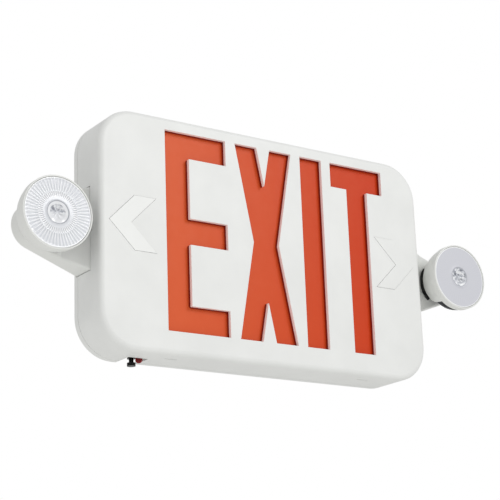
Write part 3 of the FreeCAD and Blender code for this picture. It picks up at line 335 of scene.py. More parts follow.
# %% Solder mask, nylon and shrink film
def solder_mask():
    """Green lacquer over copper tracks."""
    material, tree, shader, place = new_material("green_solder_mask_on_glass_epoxy")
    tracks = add_node(tree, "ShaderNodeTexBrick",
                      {"Vector": place, "Scale": scale_for(10), "Color1": linear("1d6b3c"),
                       "Color2": linear("19603a"), "Mortar": linear("3d8f58"),
                       "Mortar Size": 0.04, "Brick Width": 0.9, "Row Height": 0.25})
    tree.links.new(tracks.outputs[0], shader.inputs["Base Color"])
    peel = add_node(tree, "ShaderNodeTexNoise", {"Vector": place, "Scale": scale_for(1.2)})
    rough_between(tree, shader, peel.outputs[0], 0.22, 0.36)
    bump_from(tree, shader, tracks.outputs[1], 0.03)
    shader.inputs["IOR"].default_value = 1.55
    return material


def natural_nylon():
    """Waxy off-white polyamide."""
    material, tree, shader, place = new_material("natural_nylon")
    haze = add_node(tree, "ShaderNodeTexNoise", {"Vector": place, "Scale": scale_for(4)})
    two_tone(tree, shader, haze.outputs[0], "dcd9cb", "e6e3d7")
    rough_between(tree, shader, haze.outputs[0], 0.42, 0.56)
    bump_from(tree, shader, haze.outputs[0], 0.05, 0.5)
    shader.inputs["IOR"].default_value = 1.53
    return material


def shrink_film():
    """Blue PVC film shrunk tight round the cells."""
    material, tree, shader, place = new_material("blue_shrunk_pvc_film")
    wrinkles = add_node(tree, "ShaderNodeTexNoise",
                        {"Vector": place, "Scale": scale_for(8), "Distortion": 1.5})
    two_tone(tree, shader, wrinkles.outputs[0], "1a3470", "24458c")
    rough_between(tree, shader, wrinkles.outputs[0], 0.12, 0.25)
    bump_from(tree, shader, wrinkles.outputs[0], 0.3, 0.6)
    shader.inputs["IOR"].default_value = 1.54
    return material


board_green, nylon, battery_film = solder_mask(), natural_nylon(), shrink_film()
print("inner parts:", board_green.name, nylon.name, battery_film.name)

# %% [markdown]
# ## The test button and the status lamp
# The button under the sign is black ABS from a polished mould, so it mirrors the room: a low
# roughness, broken by the hair-thin scratches that fingers leave, about 3 mm long. The status
# lamp is a light-emitting diode in a dome of red-tinted clear epoxy, very smooth. Its colour is
# painted deep red where the dome faces the view and bright red at its edge: a painted glow of the
# light carried through the epoxy. Both hang in a notch that shades what they would mirror, so
# their specular level is low.

# %% Polished black ABS and tinted epoxy
def polished_black_abs():
    """Gloss black with fine scratches."""
    material, tree, shader, place = new_material("polished_black_abs")
    stretch = add_node(tree, "ShaderNodeMapping", {"Vector": place, "Scale": (1.0, 1.0, 9.0)})
    scratches = add_node(tree, "ShaderNodeTexNoise",
                         {"Vector": stretch.outputs[0], "Scale": scale_for(3), "Detail": 5.0})
    two_tone(tree, shader, scratches.outputs[0], "060607", "0d0d0e")
    rough_between(tree, shader, scratches.outputs[0], 0.05, 0.16)
    shader.inputs["IOR"].default_value = 1.53
    shader.inputs["Specular IOR Level"].default_value = 0.2
    return material


def tinted_epoxy():
    """Red diode dome, with a painted glow towards its edge."""
    material, tree, shader, place = new_material("red_tinted_epoxy")
    # Painted light: deep red where the dome faces the view, bright red towards its edge.
    depth = add_node(tree, "ShaderNodeLayerWeight", {"Blend": 0.35})
    two_tone(tree, shader, depth.outputs["Facing"], "640508", "b80c10", 0.1, 0.95)
    smudge = add_node(tree, "ShaderNodeTexNoise", {"Vector": place, "Scale": scale_for(1.5)})
    rough_between(tree, shader, smudge.outputs[0], 0.04, 0.12)
    shader.inputs["IOR"].default_value = 1.55
    shader.inputs["Specular IOR Level"].default_value = 0.2
    return material


button_black, diode_red = polished_black_abs(), tinted_epoxy()
print("controls:", button_black.name, diode_red.name)

# %% [markdown]
# ## Giving each solid part its material
# Solid parts keep their shape and only change their finish, so one table from material to parts
# is enough. The parts that later cells make anew are in it too, apart from the lenses.

# %% Assign the materials
FINISHES = {
    white_abs: ["back_plate", "chevron_right"],
    plug_abs_painted_lighter: ["chevron_left"],
    cover_abs: ["front_cover"],
    red_panel: ["legend_diffuser"],
    tray_abs: ["reflector_tray"],
    board_green: ["light_strip_top", "light_strip_bottom", "charger_board", "test_carrier",
                  "lamp_board_left", "lamp_board_right"],
    laminated: ["transformer"],
    nylon: ["supply_terminal"],
    battery_film: ["battery_pack"],
    zinc: ["battery_strap", "tray_screws", "board_screws", "strap_screws", "arm_screws_left",
           "arm_screws_right", "swivel_washer_left", "swivel_washer_right", "swivel_screw_left",
           "swivel_screw_right", "tilt_pin_left", "tilt_pin_right"],
    button_black: ["test_switch", "test_button"],
    diode_red: ["status_lamp"],
    lamp_abs: ["lamp_arm_left", "lamp_arm_right", "swivel_post_left", "swivel_post_right",
               "lamp_housing_left", "lamp_housing_right"],
    anodised: ["heat_sink_left", "heat_sink_right"],
}
for material, names in FINISHES.items():
    for name in names:
        slots = nodes[name].data.materials
        slots.clear()
        slots.append(material)
print("finished:", sum(len(names) for names in FINISHES.values()), "of", len(nodes))

# %% [markdown]
# ## The lamp lenses
# Each lamp head is closed by a polycarbonate lens. Fifty-six rounded ribs run outwards over most
# of it and spread the beam sideways, a ring of finer ribs lies inside them, then a smooth ring,
# and in the middle a thick optic with a faceted hollow right over the diode. A bump map would
# leave the ribs flat at the rim, so the front is a real surface: rings of points whose height
# follows the ribs. The right-hand lens has a frosted front, on which the ribs hardly show.

# %% Lens profile
RIBS = 56
SEGMENTS = RIBS * 6
LENS_THICKNESS = 2.0
BEAD_RADIUS, BEAD_WIDTH, BEAD_HEIGHT = 8.6, 0.45, 0.35
HOLLOW_DEPTH, HOLLOW_FACETS, FACET_HEIGHT = 1.5, 6, 0.35


def ease(value, start, end):
    """Smooth step from 0 at start to 1 at end."""
    t = min(1.0, max(0.0, (value - start) / (end - start)))
    return t * t * (3 - 2 * t)


def lens_height(radius, angle, rib_depth):
    """Height of the lens front in millimetres, at a radius in millimetres and an angle."""
    outer = ease(radius, 15.3, 16.2) * (1 - ease(radius, 23.9, 24.6))
    inner = ease(radius, 11.5, 12.2) * (1 - ease(radius, 14.6, 15.1))
    height = -rib_depth * outer * (0.5 - 0.5 * math.cos(RIBS * angle))
    height -= 0.7 * rib_depth * inner * (0.5 + 0.5 * math.cos(RIBS * angle))
    height += BEAD_HEIGHT * math.exp(-((radius - BEAD_RADIUS) / BEAD_WIDTH) ** 2)
    hollow = 1 - ease(radius, 3.0, 7.6)
    faceted = ease(radius, 0.6, 2.5) * (1 - ease(radius, 6.0, 7.4))
    facet = FACET_HEIGHT * math.cos(HOLLOW_FACETS * angle) * faceted
    return height - HOLLOW_DEPTH * hollow + facet


print("height over the diode:", round(lens_height(0, 0, 0.4), 2), "mm")

# %% [markdown]
# ## Rings and ribs inside a shader
# A lens is round, so its finish is easiest to describe by the distance from its axis and the angle
# round it. One function gives a mask that is 1 between two radii, which picks out a ring. The
# other turns the angle into a wave, which is 1 on the crest of each rib.

# %% Ring masks and rib waves
RING_BLUR_MM = 0.3


def ring_mask(tree, radius, low_mm, high_mm):
    """1 between two radii, 0 elsewhere, with soft edges."""
    rise, fall = [add_node(tree, "ShaderNodeMapRange",
                           {"Value": radius, "From Min": (at_mm - RING_BLUR_MM) * MM,
                            "From Max": (at_mm + RING_BLUR_MM) * MM, "To Min": outside,
                            "To Max": 1.0 - outside})
                  for at_mm, outside in ((low_mm, 0.0), (high_mm, 1.0))]
    return add_node(tree, "ShaderNodeMath", {0: rise.outputs[0], 1: fall.outputs[0]},
                    operation="MULTIPLY").outputs[0]


def crests(tree, angle, count):
    """0 in the valleys and 1 on the crests of ribs spaced evenly round the axis."""
    turn = add_node(tree, "ShaderNodeMath", {0: angle, 1: float(count)}, operation="MULTIPLY")
    wave = add_node(tree, "ShaderNodeMath", {0: turn.outputs[0]}, operation="COSINE")
    return add_node(tree, "ShaderNodeMapRange",
                    {"Value": wave.outputs[0], "From Min": -1.0}).outputs[0]


print("ring edges are softened over", 2 * RING_BLUR_MM, "mm")

# %% [markdown]
# ## Lens material
# Clear polycarbonate has an index of refraction of 1.58 and a hard gloss. Its inner face is
# textured, so light from the room comes back out of it as a pale, faintly violet grey instead of
# showing the diode board. Most of the lens's light and shade is painted into its colour. Rib
# crests carry painted highlights and look whiter than the valleys, less so towards the rim, and
# the smooth rings stay plain. The rim carries a painted white highlight, the disc over the optic a
# painted white glow and the groove at its edge painted shade. The optic in the middle is clearer,
# with facets about 1.6 mm wide and nine spokes that go from grey to white, all painted
# reflections. Its upper part carries a painted reflection of the dark diode and its lower part one
# of the bright rim.
# The colour is built up in layers, from the ground to the optic, each with a mask that says where
# it shows. A mask that starts inside the axis, at a radius below zero, has no hole in its middle.

# %% Clear ribbed polycarbonate
# The rim ring is a painted white highlight.
OUTER_RIBS_MM, INNER_RIBS_MM, RIM_HIGHLIGHT_MM = (15.3, 24.3), (11.6, 14.9), (24.7, 26.0)
RIB_FADE_MM, RIM_STRENGTH = (18.5, 22.5), 0.45
# The facet greys are painted reflections; the optic's upper part carries a painted reflection of
# the diode.
FACET_MM, OPTIC_SPOKES, DIODE_REFLECTION_MM = 1.6, 9, (-1.5, 1.0)
FACET_REFLECTION_GREYS = ((0.16, "a3a6af"), (0.34, "cfd1d8"), (0.52, "babdc5"))
AXIS_MM, GROOVE_IN_MM, GROOVE_OUT_MM = -1.0, 0.2, 0.5


def ribbed_polycarbonate(name, look):
    """Lens material in the lens's own coordinates, whose axis runs along Y."""
    material, tree, shader, place = new_material(name)
    axes = add_node(tree, "ShaderNodeSeparateXYZ", {0: place})
    flat = add_node(tree, "ShaderNodeCombineXYZ", {0: axes.outputs[0], 2: axes.outputs[2]})
    radius = add_node(tree, "ShaderNodeVectorMath", {0: flat.outputs[0]},
                      operation="LENGTH").outputs["Value"]
    angle = add_node(tree, "ShaderNodeMath", {0: axes.outputs[2], 1: axes.outputs[0]},
                     operation="ARCTAN2").outputs[0]

    fade = add_node(tree, "ShaderNodeMapRange",
                    {"Value": radius, "From Min": RIB_FADE_MM[0] * MM,
                     "From Max": RIB_FADE_MM[1] * MM, "To Min": 1.0, "To Max": RIM_STRENGTH})
    outer = add_node(tree, "ShaderNodeMath", {0: ring_mask(tree, radius, *OUTER_RIBS_MM),
                                              1: fade.outputs[0]}, operation="MULTIPLY")
    # Painted reflection: the facets show fully in the optic's upper part, over the dark diode,
    # less below.
    upward = add_node(tree, "ShaderNodeMapRange",
                      {"Value": axes.outputs[2], "From Min": DIODE_REFLECTION_MM[0] * MM,
                       "From Max": DIODE_REFLECTION_MM[1] * MM, "To Min": look["low_facets"]})
    fan = add_node(tree, "ShaderNodeMath", {0: ring_mask(tree, radius, AXIS_MM, look["facets_mm"]),
                                            1: upward.outputs[0]}, operation="MULTIPLY")

    facets = add_node(tree, "ShaderNodeTexVoronoi",
                      {"Vector": place, "Scale": scale_for(FACET_MM)})
    shades = add_node(tree, "ShaderNodeSeparateColor", {0: facets.outputs["Color"]})
    cut = add_node(tree, "ShaderNodeValToRGB", {0: shades.outputs[0]})
    cut.color_ramp.interpolation = "CONSTANT"
    cut.color_ramp.elements[0].color = linear("7b7e87")
    cut.color_ramp.elements[1].position = 0.7
    cut.color_ramp.elements[1].color = linear("f4f5f7")
    for position, hex_value in FACET_REFLECTION_GREYS:
        cut.color_ramp.elements.new(position).color = linear(hex_value)

    # Rib crests carry painted highlights, valleys painted shade, and the spokes painted
    # reflections.
    ribs = crests(tree, angle, RIBS)
    outer_ribs, inner_ribs, spokes = [
        add_node(tree, "ShaderNodeMix", {0: wave, 6: linear(low), 7: linear(high)},
                 data_type="RGBA").outputs[2]
        for wave, low, high in ((ribs, look["valley"], look["crest"]),
                                (ribs, look["bright"], look["deep"]),
                                (crests(tree, angle, OPTIC_SPOKES), "9b9ea8", "eceef1"))]
    optic = add_node(tree, "ShaderNodeMix", {0: look["spoke_share"], 6: cut.outputs[0], 7: spokes},
                     data_type="RGBA").outputs[2]

    # Layers: the disc over the optic is a painted glow, the groove ring painted shade, the rim a
    # painted highlight.
    halo = look["halo_mm"]
    colour = linear(look["ground"])
    for mask, layer in ((outer.outputs[0], outer_ribs),
                        (ring_mask(tree, radius, *INNER_RIBS_MM), inner_ribs),
                        (ring_mask(tree, radius, AXIS_MM, halo), linear("f0f1f4")),
                        (ring_mask(tree, radius, halo - GROOVE_IN_MM, halo + GROOVE_OUT_MM),
                         linear("a2a5ad")),
                        (ring_mask(tree, radius, *RIM_HIGHLIGHT_MM), linear("fafbfc")),
                        (fan.outputs[0], optic)):
        colour = add_node(tree, "ShaderNodeMix", {0: mask, 6: colour, 7: layer},
                          data_type="RGBA").outputs[2]
    tree.links.new(colour, shader.inputs["Base Color"])
    haze = add_node(tree, "ShaderNodeTexNoise", {"Vector": place, "Scale": scale_for(2.5)})
    rough_between(tree, shader, haze.outputs[0], *look["rough"])
    bump_from(tree, shader, shades.outputs[1], 0.02, 0.3)
    shader.inputs["IOR"].default_value = 1.58
    return material


# Crest and bright are painted highlights on the ribs, valley and deep their painted shade.
clear_lens = ribbed_polycarbonate("ribbed_polycarbonate", {
    "ground": "dfe1e6", "valley": "cdd0d6", "crest": "f3f4f7", "deep": "c3c6cd",
    "bright": "fbfbfc", "halo_mm": 8.1, "facets_mm": 6.0, "low_facets": 0.15, "spoke_share": 0.5,
    "rough": (0.1, 0.2)})
frosted_lens = ribbed_polycarbonate("frosted_polycarbonate", {
    "ground": "cdced5", "valley": "cccdd4", "crest": "cecfd6", "deep": "cccdd4",
    "bright": "cecfd6", "halo_mm": 7.6, "facets_mm": 7.4, "low_facets": 0.8, "spoke_share": 0.15,
    "rough": (0.3, 0.42)})
print("lens materials:", clear_lens.name, frosted_lens.name)

# %% [markdown]
# ## Building a lens
# The front is a fan of rings, denser where the height changes fast. An edge band and a flat rear
# close it into a solid, 2 mm thick at its rim. The object's own origin sits on the lens axis, so
# that the material's angle and radius are right.

# %% Lens mesh
RINGS = ([0.0, 0.6, 1.2, 1.8, 2.4, 3.0, 3.6, 4.2, 4.8, 5.4, 6.6, 7.7, 8.1, 8.4, 8.6, 8.8, 9.1, 9.6,
          10.6, 11.4, 11.8, 12.2, 13.4, 14.6, 14.9, 15.2, 15.5, 15.8, 16.2, 18.0, 20.0, 22.0, 23.4,
          23.9, 24.2, 24.6, 24.9])
RELIEF_END, EDGE_CHAMFER = 24.8, 0.15


def make_lens(name, node, body, material, rib_depth):
    """A lens in the place of the solid one, which it stands for."""
    low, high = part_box(node)
    centre = Vector(((low.x + high.x) / 2, low.y, (low.z + high.z) / 2))
    edge = (high.x - low.x) / 2 / MM
    radii = RINGS + [edge - EDGE_CHAMFER, edge, edge]
    depths = [0.0] * (len(radii) - 2) + [-EDGE_CHAMFER, -LENS_THICKNESS]
    points = [(0.0, -lens_height(0, 0, rib_depth) * MM, 0.0)]
    for radius, depth in list(zip(radii, depths))[1:]:
        for step in range(SEGMENTS):
            angle = math.tau * step / SEGMENTS
            relief = lens_height(radius, angle, rib_depth) if radius < RELIEF_END else 0.0
            points.append((radius * math.cos(angle) * MM, -(depth + relief) * MM,
                           radius * math.sin(angle) * MM))
    points.append((0.0, LENS_THICKNESS * MM, 0.0))
    faces = [(0, 1 + (step + 1) % SEGMENTS, 1 + step) for step in range(SEGMENTS)]
    for ring in range(len(radii) - 2):
        start = 1 + ring * SEGMENTS
        for step in range(SEGMENTS):
            after = (step + 1) % SEGMENTS
            faces.append((start + step, start + after, start + SEGMENTS + after,
                          start + SEGMENTS + step))
    last = 1 + (len(radii) - 2) * SEGMENTS
    faces += [(last + step, last + (step + 1) % SEGMENTS, len(points) - 1)
              for step in range(SEGMENTS)]
    mesh = bpy.data.meshes.new(name)
    mesh.from_pydata(points, [], faces)
    mesh.polygons.foreach_set("use_smooth", [True] * len(mesh.polygons))
    mesh.materials.append(material)
    lens = bpy.data.objects.new(name, mesh)
    lens.location = centre
    bpy.context.scene.collection.objects.link(lens)
    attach(lens, body)
    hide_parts(node)
    print(name, "radius", round(edge, 1), "mm,", len(mesh.polygons), "faces")


CLEAR_RIB_DEPTH, FROSTED_RIB_DEPTH = 0.28, 0.03
make_lens("ribbed_lens_left", "lamp_lens_left", "lamp_head_left", clear_lens, CLEAR_RIB_DEPTH)
make_lens("frosted_lens_right", "lamp_lens_right", "lamp_head_right", frosted_lens,
          FROSTED_RIB_DEPTH)

# %% [markdown]
# ## Sweeping a ring
# Shells, fins and flanges of a round lamp head are all the same thing to a modeller: a closed
# outline swept round the lamp's axis, all the way or through a sector. The outline may change
# with the angle, which a spin tool can't do, so a short function walks round the axis and joins
# one outline to the next. Faces that meet at more than 35 degrees keep a sharp edge.

# %% Ring helper
SHARP_FROM_DEG = 35


def ring_of(name, outline_at, material, start_deg, sweep_deg, step_deg=2.0):
    """Solid swept about the Y axis; outline_at(angle, step) gives (radius, forward) in mm."""
    closed = sweep_deg >= 360
    steps = round(sweep_deg / step_deg)
    count = steps if closed else steps + 1
    points = []
    for step in range(count):
        angle = math.radians(start_deg + sweep_deg * step / steps)
        for radius, forward in outline_at(math.degrees(angle), step):
            points.append((radius * math.cos(angle) * MM, -forward * MM,
                           radius * math.sin(angle) * MM))
    size = len(points) // count
    faces = []
    for step in range(steps):
        here, there = step * size, (step + 1) % count * size
        for corner in range(size):
            after = (corner + 1) % size
            faces.append((here + corner, here + after, there + after, there + corner))
    if not closed:
        faces += [tuple(range(size)), tuple(range(len(points) - 1, len(points) - size - 1, -1))]
    mesh = bpy.data.meshes.new(name)
    mesh.from_pydata(points, [], faces)
    form = bmesh.new()
    form.from_mesh(mesh)
    bmesh.ops.recalc_face_normals(form, faces=form.faces)
    form.to_mesh(mesh)
    form.free()
    mesh.polygons.foreach_set("use_smooth", [True] * len(mesh.polygons))
    mesh.set_sharp_from_angle(angle=math.radians(SHARP_FROM_DEG))
    mesh.materials.append(material)
    made = bpy.data.objects.new(name, mesh)
    bpy.context.scene.collection.objects.link(made)
    return made


print("ring helper ready")

# %% [markdown]
# ## The shells of the lamp heads
# A head's shell is moulded in one piece: a straight band round the lens, then a bowl that curves
# in towards the arm. On one side the bowl is left out behind the band, so that the head can tilt
# without touching the arm and the fins inside get air. The band is a full ring. The bowl is a
# sector that also ends along the slanting bevel, which gives the free side its shape.

# %% Lamp shells
BAND_DEPTH, BOWL_DEPTH, SHELL_WALL = 5.5, 26.5, 2.0
BOWL_FRONT, BOWL_REAR, BOWL_ARC = 26.55, 16.6, 34.0
PIN_SETBACK, BEVEL_ANGLE, BEVEL_DISTANCE, BEVEL_TURN = 17.5, math.radians(38.0), 10.2, -17.0
SHORTEST_BOWL, BEVEL_STEP, WALL_PARTS = 1.0, 0.1, 12
FREE_SIDE = {"left": (-74.0, 40.0), "right": (-127.0, 40.0)}
BAND = [(26.8, -0.5), (26.68, -0.18), (26.4, -0.03), (25.9, -0.03), (25.65, -0.25), (25.65, -3.2),
        (24.2, -3.2), (24.2, -6.3), (26.3, -6.3), (26.8, -5.6)]


def bowl_radius(depth):
    """Outer radius of the bowl at a depth behind the lens front."""
    middle_r, middle_d = (BOWL_FRONT + BOWL_REAR) / 2, (BAND_DEPTH + BOWL_DEPTH) / 2
    along_r, along_d = BOWL_REAR - BOWL_FRONT, BOWL_DEPTH - BAND_DEPTH
    chord = math.hypot(along_r, along_d)
    rise = math.sqrt(BOWL_ARC ** 2 - chord ** 2 / 4)
    centre_r, centre_d = middle_r - along_d / chord * rise, middle_d + along_r / chord * rise
    return centre_r + math.sqrt(BOWL_ARC ** 2 - (depth - centre_d) ** 2)


def bevel_depth(angle_deg):
    """Depth at which the bevel ends the bowl, at an angle round the lamp's axis."""
    offset = math.radians(angle_deg - BEVEL_TURN)
    depth = BOWL_DEPTH
    while depth > BAND_DEPTH + SHORTEST_BOWL:
        cut = (bowl_radius(depth) * math.cos(offset) * math.tan(BEVEL_ANGLE)
               - BEVEL_DISTANCE / math.cos(BEVEL_ANGLE))
        if PIN_SETBACK - depth > cut:
            return depth
        depth -= BEVEL_STEP
    return BAND_DEPTH + SHORTEST_BOWL


def bowl_outline(angle_deg, step):
    """Closed outline of the bowl's wall at one angle."""
    rear = bevel_depth(angle_deg)
    depths = [BAND_DEPTH + (rear - BAND_DEPTH) * part / WALL_PARTS
              for part in range(WALL_PARTS + 1)]
    outside = [(bowl_radius(depth), -depth) for depth in depths]
    return outside + [(bowl_radius(depth) - SHELL_WALL, -depth) for depth in reversed(depths)]


for side, (free_start, free_end) in FREE_SIDE.items():
    low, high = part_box(f"lamp_housing_{side}")
    place = ((low.x + high.x) / 2, low.y, 0.0)
    band = ring_of(f"lamp_band_{side}", lambda angle, step: BAND, lamp_abs, 0.0, 360.0)
    bowl = ring_of(f"lamp_bowl_{side}", bowl_outline, lamp_abs, free_end,
                   360.0 - (free_end - free_start))
    for shell in (band, bowl):
        shell.location = place
        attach(shell, f"lamp_head_{side}")
        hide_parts(f"lamp_housing_{side}")
    print(bowl.name, "spans", 360 - (free_end - free_start), "degrees behind the band")

# %% [markdown]
# ## The exposed fins of the heat sinks
# On the free side the dark rim of the heat sink comes to the surface. It carries short ribs along
# the lamp's axis, 1.5 mm apart, which follow the bowl's arc. The same sweep makes them, with an
# outline that stands higher on a rib than in the gap between two ribs.

# %% Exposed heat sink fins
FIN_PITCH, FIN_INNER, FIN_FRONT, FIN_REAR = 1.5, 23.5, 6.4, 13.5
RIB_LIFT, GAP_LIFT, RIM_PARTS = -0.1, -0.7, 6
END_GAP_DEG, RIM_RADIUS = 1.5, 25.5


def fin_outline(angle_deg, step):
    """Closed outline of the finned rim at one angle."""
    lift = RIB_LIFT if step % 4 in (1, 2) else GAP_LIFT
    depths = [FIN_FRONT + (FIN_REAR - FIN_FRONT) * part / RIM_PARTS
              for part in range(RIM_PARTS + 1)]
    return ([(FIN_INNER, -FIN_FRONT)] + [(bowl_radius(depth) + lift, -depth) for depth in depths]
            + [(FIN_INNER, -FIN_REAR)])


for side, (free_start, free_end) in FREE_SIDE.items():
    low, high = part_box(f"lamp_housing_{side}")
    sweep = free_end - free_start - 2 * END_GAP_DEG
    ribs = round(math.radians(sweep) * RIM_RADIUS / FIN_PITCH)
    rim = ring_of(f"exposed_fins_{side}", fin_outline, anodised, free_start + END_GAP_DEG, sweep,
                  sweep / (4 * ribs))
    rim.location = ((low.x + high.x) / 2, low.y, 0.0)
    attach(rim, f"lamp_head_{side}")
    print(rim.name, ribs, "ribs")

# %% [markdown]
# ## Painted shade behind the right-hand head
# Where the right-hand bowl ends next to its arm, the gap to the swivel pad lies in deep shade and
# reads as a dark crescent. A near-black sheet is put there as painted shade; it closes most of the
# gap. It is a short sector of a ring, set just behind the bowl's rear edge, and tilts with the
# head.
# It is dull, with a faint random tone.

# %% Painted shade in the gap behind the right-hand head
def painted_gap_shade():
    """Dull near-black painted shade for the gap, with a faint random tone."""
    material, tree, shader, place = new_material("black_painted_gap_shade")
    shade_mottle = add_node(tree, "ShaderNodeTexNoise",
                     {"Vector": place, "Scale": scale_for(3), "Detail": 4.0})
    two_tone(tree, shader, shade_mottle.outputs[0], "0e0e0f", "1b1b1c")
    rough_between(tree, shader, shade_mottle.outputs[0], 0.6, 0.8)
    bump_from(tree, shader, shade_mottle.outputs[0], 0.02)
    return material


# Painted shade: a near-black sheet put where the gap between head and arm lies in shade.
GAP_SHADE_OUTLINE = [(13.0, -25.0), (14.4, -25.0), (15.8, -26.55), (18.6, -26.55), (18.8, -26.8),
               (18.8, -27.9), (18.6, -28.1), (13.0, -28.1)]
GAP_SHADE_START, GAP_SHADE_SWEEP = 140.0, 91.0
low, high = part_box("lamp_housing_right")
edge = ring_of("painted_gap_shade_right", lambda angle, step: GAP_SHADE_OUTLINE, painted_gap_shade(),
               GAP_SHADE_START, GAP_SHADE_SWEEP, step_deg=1.0)
edge.location = ((low.x + high.x) / 2, low.y, 0.0)
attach(edge, "lamp_head_right")
print(edge.name, "is", 2 * max(radius for radius, forward in GAP_SHADE_OUTLINE), "mm across")

# %% [markdown]
# ## The status lamp
# The charge indicator is a common 5 mm diode that hangs dome down through the notch under the
# sign. Its body is cast epoxy: a flange, a short barrel and a half-round end. A profile turned
# about the vertical gives all three, and the round end wants enough rings to stay round. The
# points are laid down ring by ring from the top, so that each run gives the very same mesh.

# %% Status diode
DIODE_RADIUS, DIODE_FLANGE, DIODE_BARREL = 2.5, 2.8, 1.2
DIODE_SEAT_Z, DIODE_STEPS = -89.0, 40


def make_diode():
    """A 5 mm diode, dome down, in the place of the plain one."""
    low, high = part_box("status_lamp")
    profile = [(0.0, 1.0), (DIODE_FLANGE, 1.0), (DIODE_FLANGE, 0.2), (DIODE_RADIUS, 0.1),
               (DIODE_RADIUS, -DIODE_BARREL)]
    profile += [(DIODE_RADIUS * math.cos(math.radians(turn)),
                 -DIODE_BARREL - DIODE_RADIUS * math.sin(math.radians(turn)))
                for turn in range(10, 90, 10)]
    profile.append((0.0, -DIODE_BARREL - DIODE_RADIUS))
    (_, top), *rings, (_, bottom) = profile
    turns = [math.tau * step / DIODE_STEPS for step in range(DIODE_STEPS)]
    points = [(0.0, 0.0, top * MM)]
    points += [(radius * math.cos(turn) * MM, radius * math.sin(turn) * MM, height * MM)
               for radius, height in rings for turn in turns]
    points.append((0.0, 0.0, bottom * MM))
    faces = []
    for step in range(DIODE_STEPS):
        after = (step + 1) % DIODE_STEPS
        faces.append((0, 1 + step, 1 + after))
        for upper in range(1, len(points) - 1 - DIODE_STEPS, DIODE_STEPS):
            lower = upper + DIODE_STEPS
            faces.append((upper + step, lower + step, lower + after, upper + after))
        faces.append((lower + after, lower + step, len(points) - 1))
    mesh = bpy.data.meshes.new("status_diode")
    mesh.from_pydata(points, [], faces)
    mesh.polygons.foreach_set("use_smooth", [True] * len(mesh.polygons))
    mesh.set_sharp_from_angle(angle=math.radians(40))
    mesh.materials.append(diode_red)
    diode = bpy.data.objects.new("status_diode", mesh)
    diode.location = ((low.x + high.x) / 2, (low.y + high.y) / 2, DIODE_SEAT_Z * MM)
    bpy.context.scene.collection.objects.link(diode)
    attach(diode, "housing")
    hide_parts("status_lamp")
    print("status diode, box of the plain one:", [round(v / MM, 1) for v in (*low, *high)])


make_diode()

# %% [markdown]
# ## Floor and surroundings
# A pale floor lies well below the sign and only returns some light to its underside. The
# surroundings are an even soft white. Seen directly they are plain white; as a light, and in
# reflections, they are a little weaker, so that white plastic keeps its shades. The floor, too, is
# plain white when it is seen directly, so that its edge never shows.

# %% Floor and world
FLOOR_DROP, FLOOR_REACH = 1.3, 8.0
floor_mesh = bpy.data.meshes.new("studio_floor")
floor_mesh.from_pydata([(x * FLOOR_REACH, y * FLOOR_REACH, -FLOOR_DROP)
                        for x, y in ((-1, -1), (1, -1), (1, 1), (-1, 1))], [], [(0, 1, 2, 3)])
floor = bpy.data.objects.new("studio_floor", floor_mesh)
bpy.context.scene.collection.objects.link(floor)
floor_paint, floor_tree, floor_shader, floor_place = new_material("matte_studio_paint")
roller = add_node(floor_tree, "ShaderNodeTexNoise", {"Vector": floor_place, "Scale": scale_for(3)})
two_tone(floor_tree, floor_shader, roller.outputs[0], "efefed", "f2f2f0")
floor_shader.inputs["Roughness"].default_value = 0.8
glow = add_node(floor_tree, "ShaderNodeEmission", {"Color": linear("ffffff"), "Strength": 1.0})
seen_floor = add_node(floor_tree, "ShaderNodeLightPath").outputs["Is Camera Ray"]
plain = add_node(floor_tree, "ShaderNodeMixShader",
                 {0: seen_floor, 1: floor_shader.outputs[0], 2: glow.outputs[0]})
floor_tree.links.new(plain.outputs[0], floor_tree.nodes["Material Output"].inputs["Surface"])
floor_mesh.materials.append(floor_paint)

SURROUND_LIGHT = 0.7
world = bpy.data.worlds.new("soft_white_room")
bpy.context.scene.world = world
world.use_nodes = True
room = world.node_tree
background = room.nodes["Background"]
background.inputs["Color"].default_value = (1.0, 1.0, 1.0, 1.0)
rays = add_node(room, "ShaderNodeLightPath")
seen = add_node(room, "ShaderNodeMath", {0: rays.outputs["Is Camera Ray"],
                                         1: rays.outputs["Is Transmission Ray"]},
                operation="MAXIMUM")
level = add_node(room, "ShaderNodeMapRange", {"Value": seen.outputs[0], "To Min": SURROUND_LIGHT,
                                              "To Max": 1.0})
room.links.new(level.outputs[0], background.inputs["Strength"])
print("floor", FLOOR_DROP, "m below the sign's middle; surroundings light at", SURROUND_LIGHT)

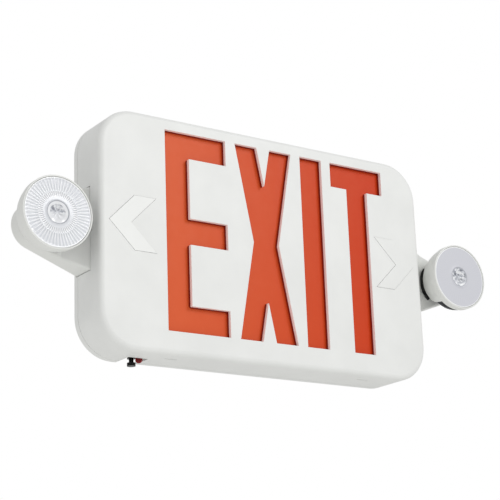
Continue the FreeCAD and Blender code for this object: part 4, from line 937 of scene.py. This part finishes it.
# %% [markdown]
# ## Lights
# One large soft lamp stands in front, above and to the right. It makes the face the brightest
# side, leaves the left side in half shade and lays a soft shadow of each letter's upper and right
# edge on the red panel. A weak, wide lamp under the sign lifts its underside. The lamps themselves
# are kept out of sight.

# %% Soft lamps
def soft_lamp(name, place, width, power):
    """A square area lamp that faces the sign."""
    data = bpy.data.lights.new(name, "AREA")
    data.size, data.energy = width, power
    lamp = bpy.data.objects.new(name, data)
    lamp.location = place
    lamp.rotation_euler = (-Vector(place)).to_track_quat("-Z", "Y").to_euler()
    lamp.visible_camera = False
    bpy.context.scene.collection.objects.link(lamp)
    return lamp


key_lamp = soft_lamp("key_lamp", (1.3, -2.4, 1.5), 1.2, 27.0)
low_lamp = soft_lamp("low_lamp", (-0.4, -0.35, -0.6), 0.8, 0.8)
print("key lamp", round(key_lamp.location.length, 2), "m away")

# %% [markdown]
# ## Camera
# The sign is looked up at from the lower left with a long lens, about 1.2 m away. The camera's
# direction is given by three angles: yaw to the right, pitch upwards and a slight roll.

# %% Camera
CAMERA_PLACE = Vector((-0.63273, -0.92879, -0.32522))
YAW, PITCH, ROLL = (math.radians(angle) for angle in (34.5565, 16.595, -2.113))
forward = Vector((math.sin(YAW) * math.cos(PITCH), math.cos(YAW) * math.cos(PITCH),
                  math.sin(PITCH)))
level_right = Vector((math.cos(YAW), -math.sin(YAW), 0.0))
level_up = level_right.cross(forward)
right = level_right * math.cos(ROLL) + level_up * math.sin(ROLL)
up = level_up * math.cos(ROLL) - level_right * math.sin(ROLL)
camera_data = bpy.data.cameras.new("long_lens")
FOCAL_LENGTH, FILM_WIDTH = 108.74, 36.0
camera_data.lens, camera_data.sensor_width = FOCAL_LENGTH, FILM_WIDTH
camera = bpy.data.objects.new("long_lens", camera_data)
camera.matrix_world = Matrix.Translation(CAMERA_PLACE) @ Matrix(
    (right, up, -forward)).transposed().to_4x4()
bpy.context.scene.collection.objects.link(camera)
bpy.context.scene.camera = camera
bpy.context.scene.view_settings.view_transform = "Standard"
print("camera", round(CAMERA_PLACE.length, 2), "m from the sign's middle")

# %% [markdown]
# ## Closing
# The dressed sign has to fill the same box as the solid parts.


print("done")
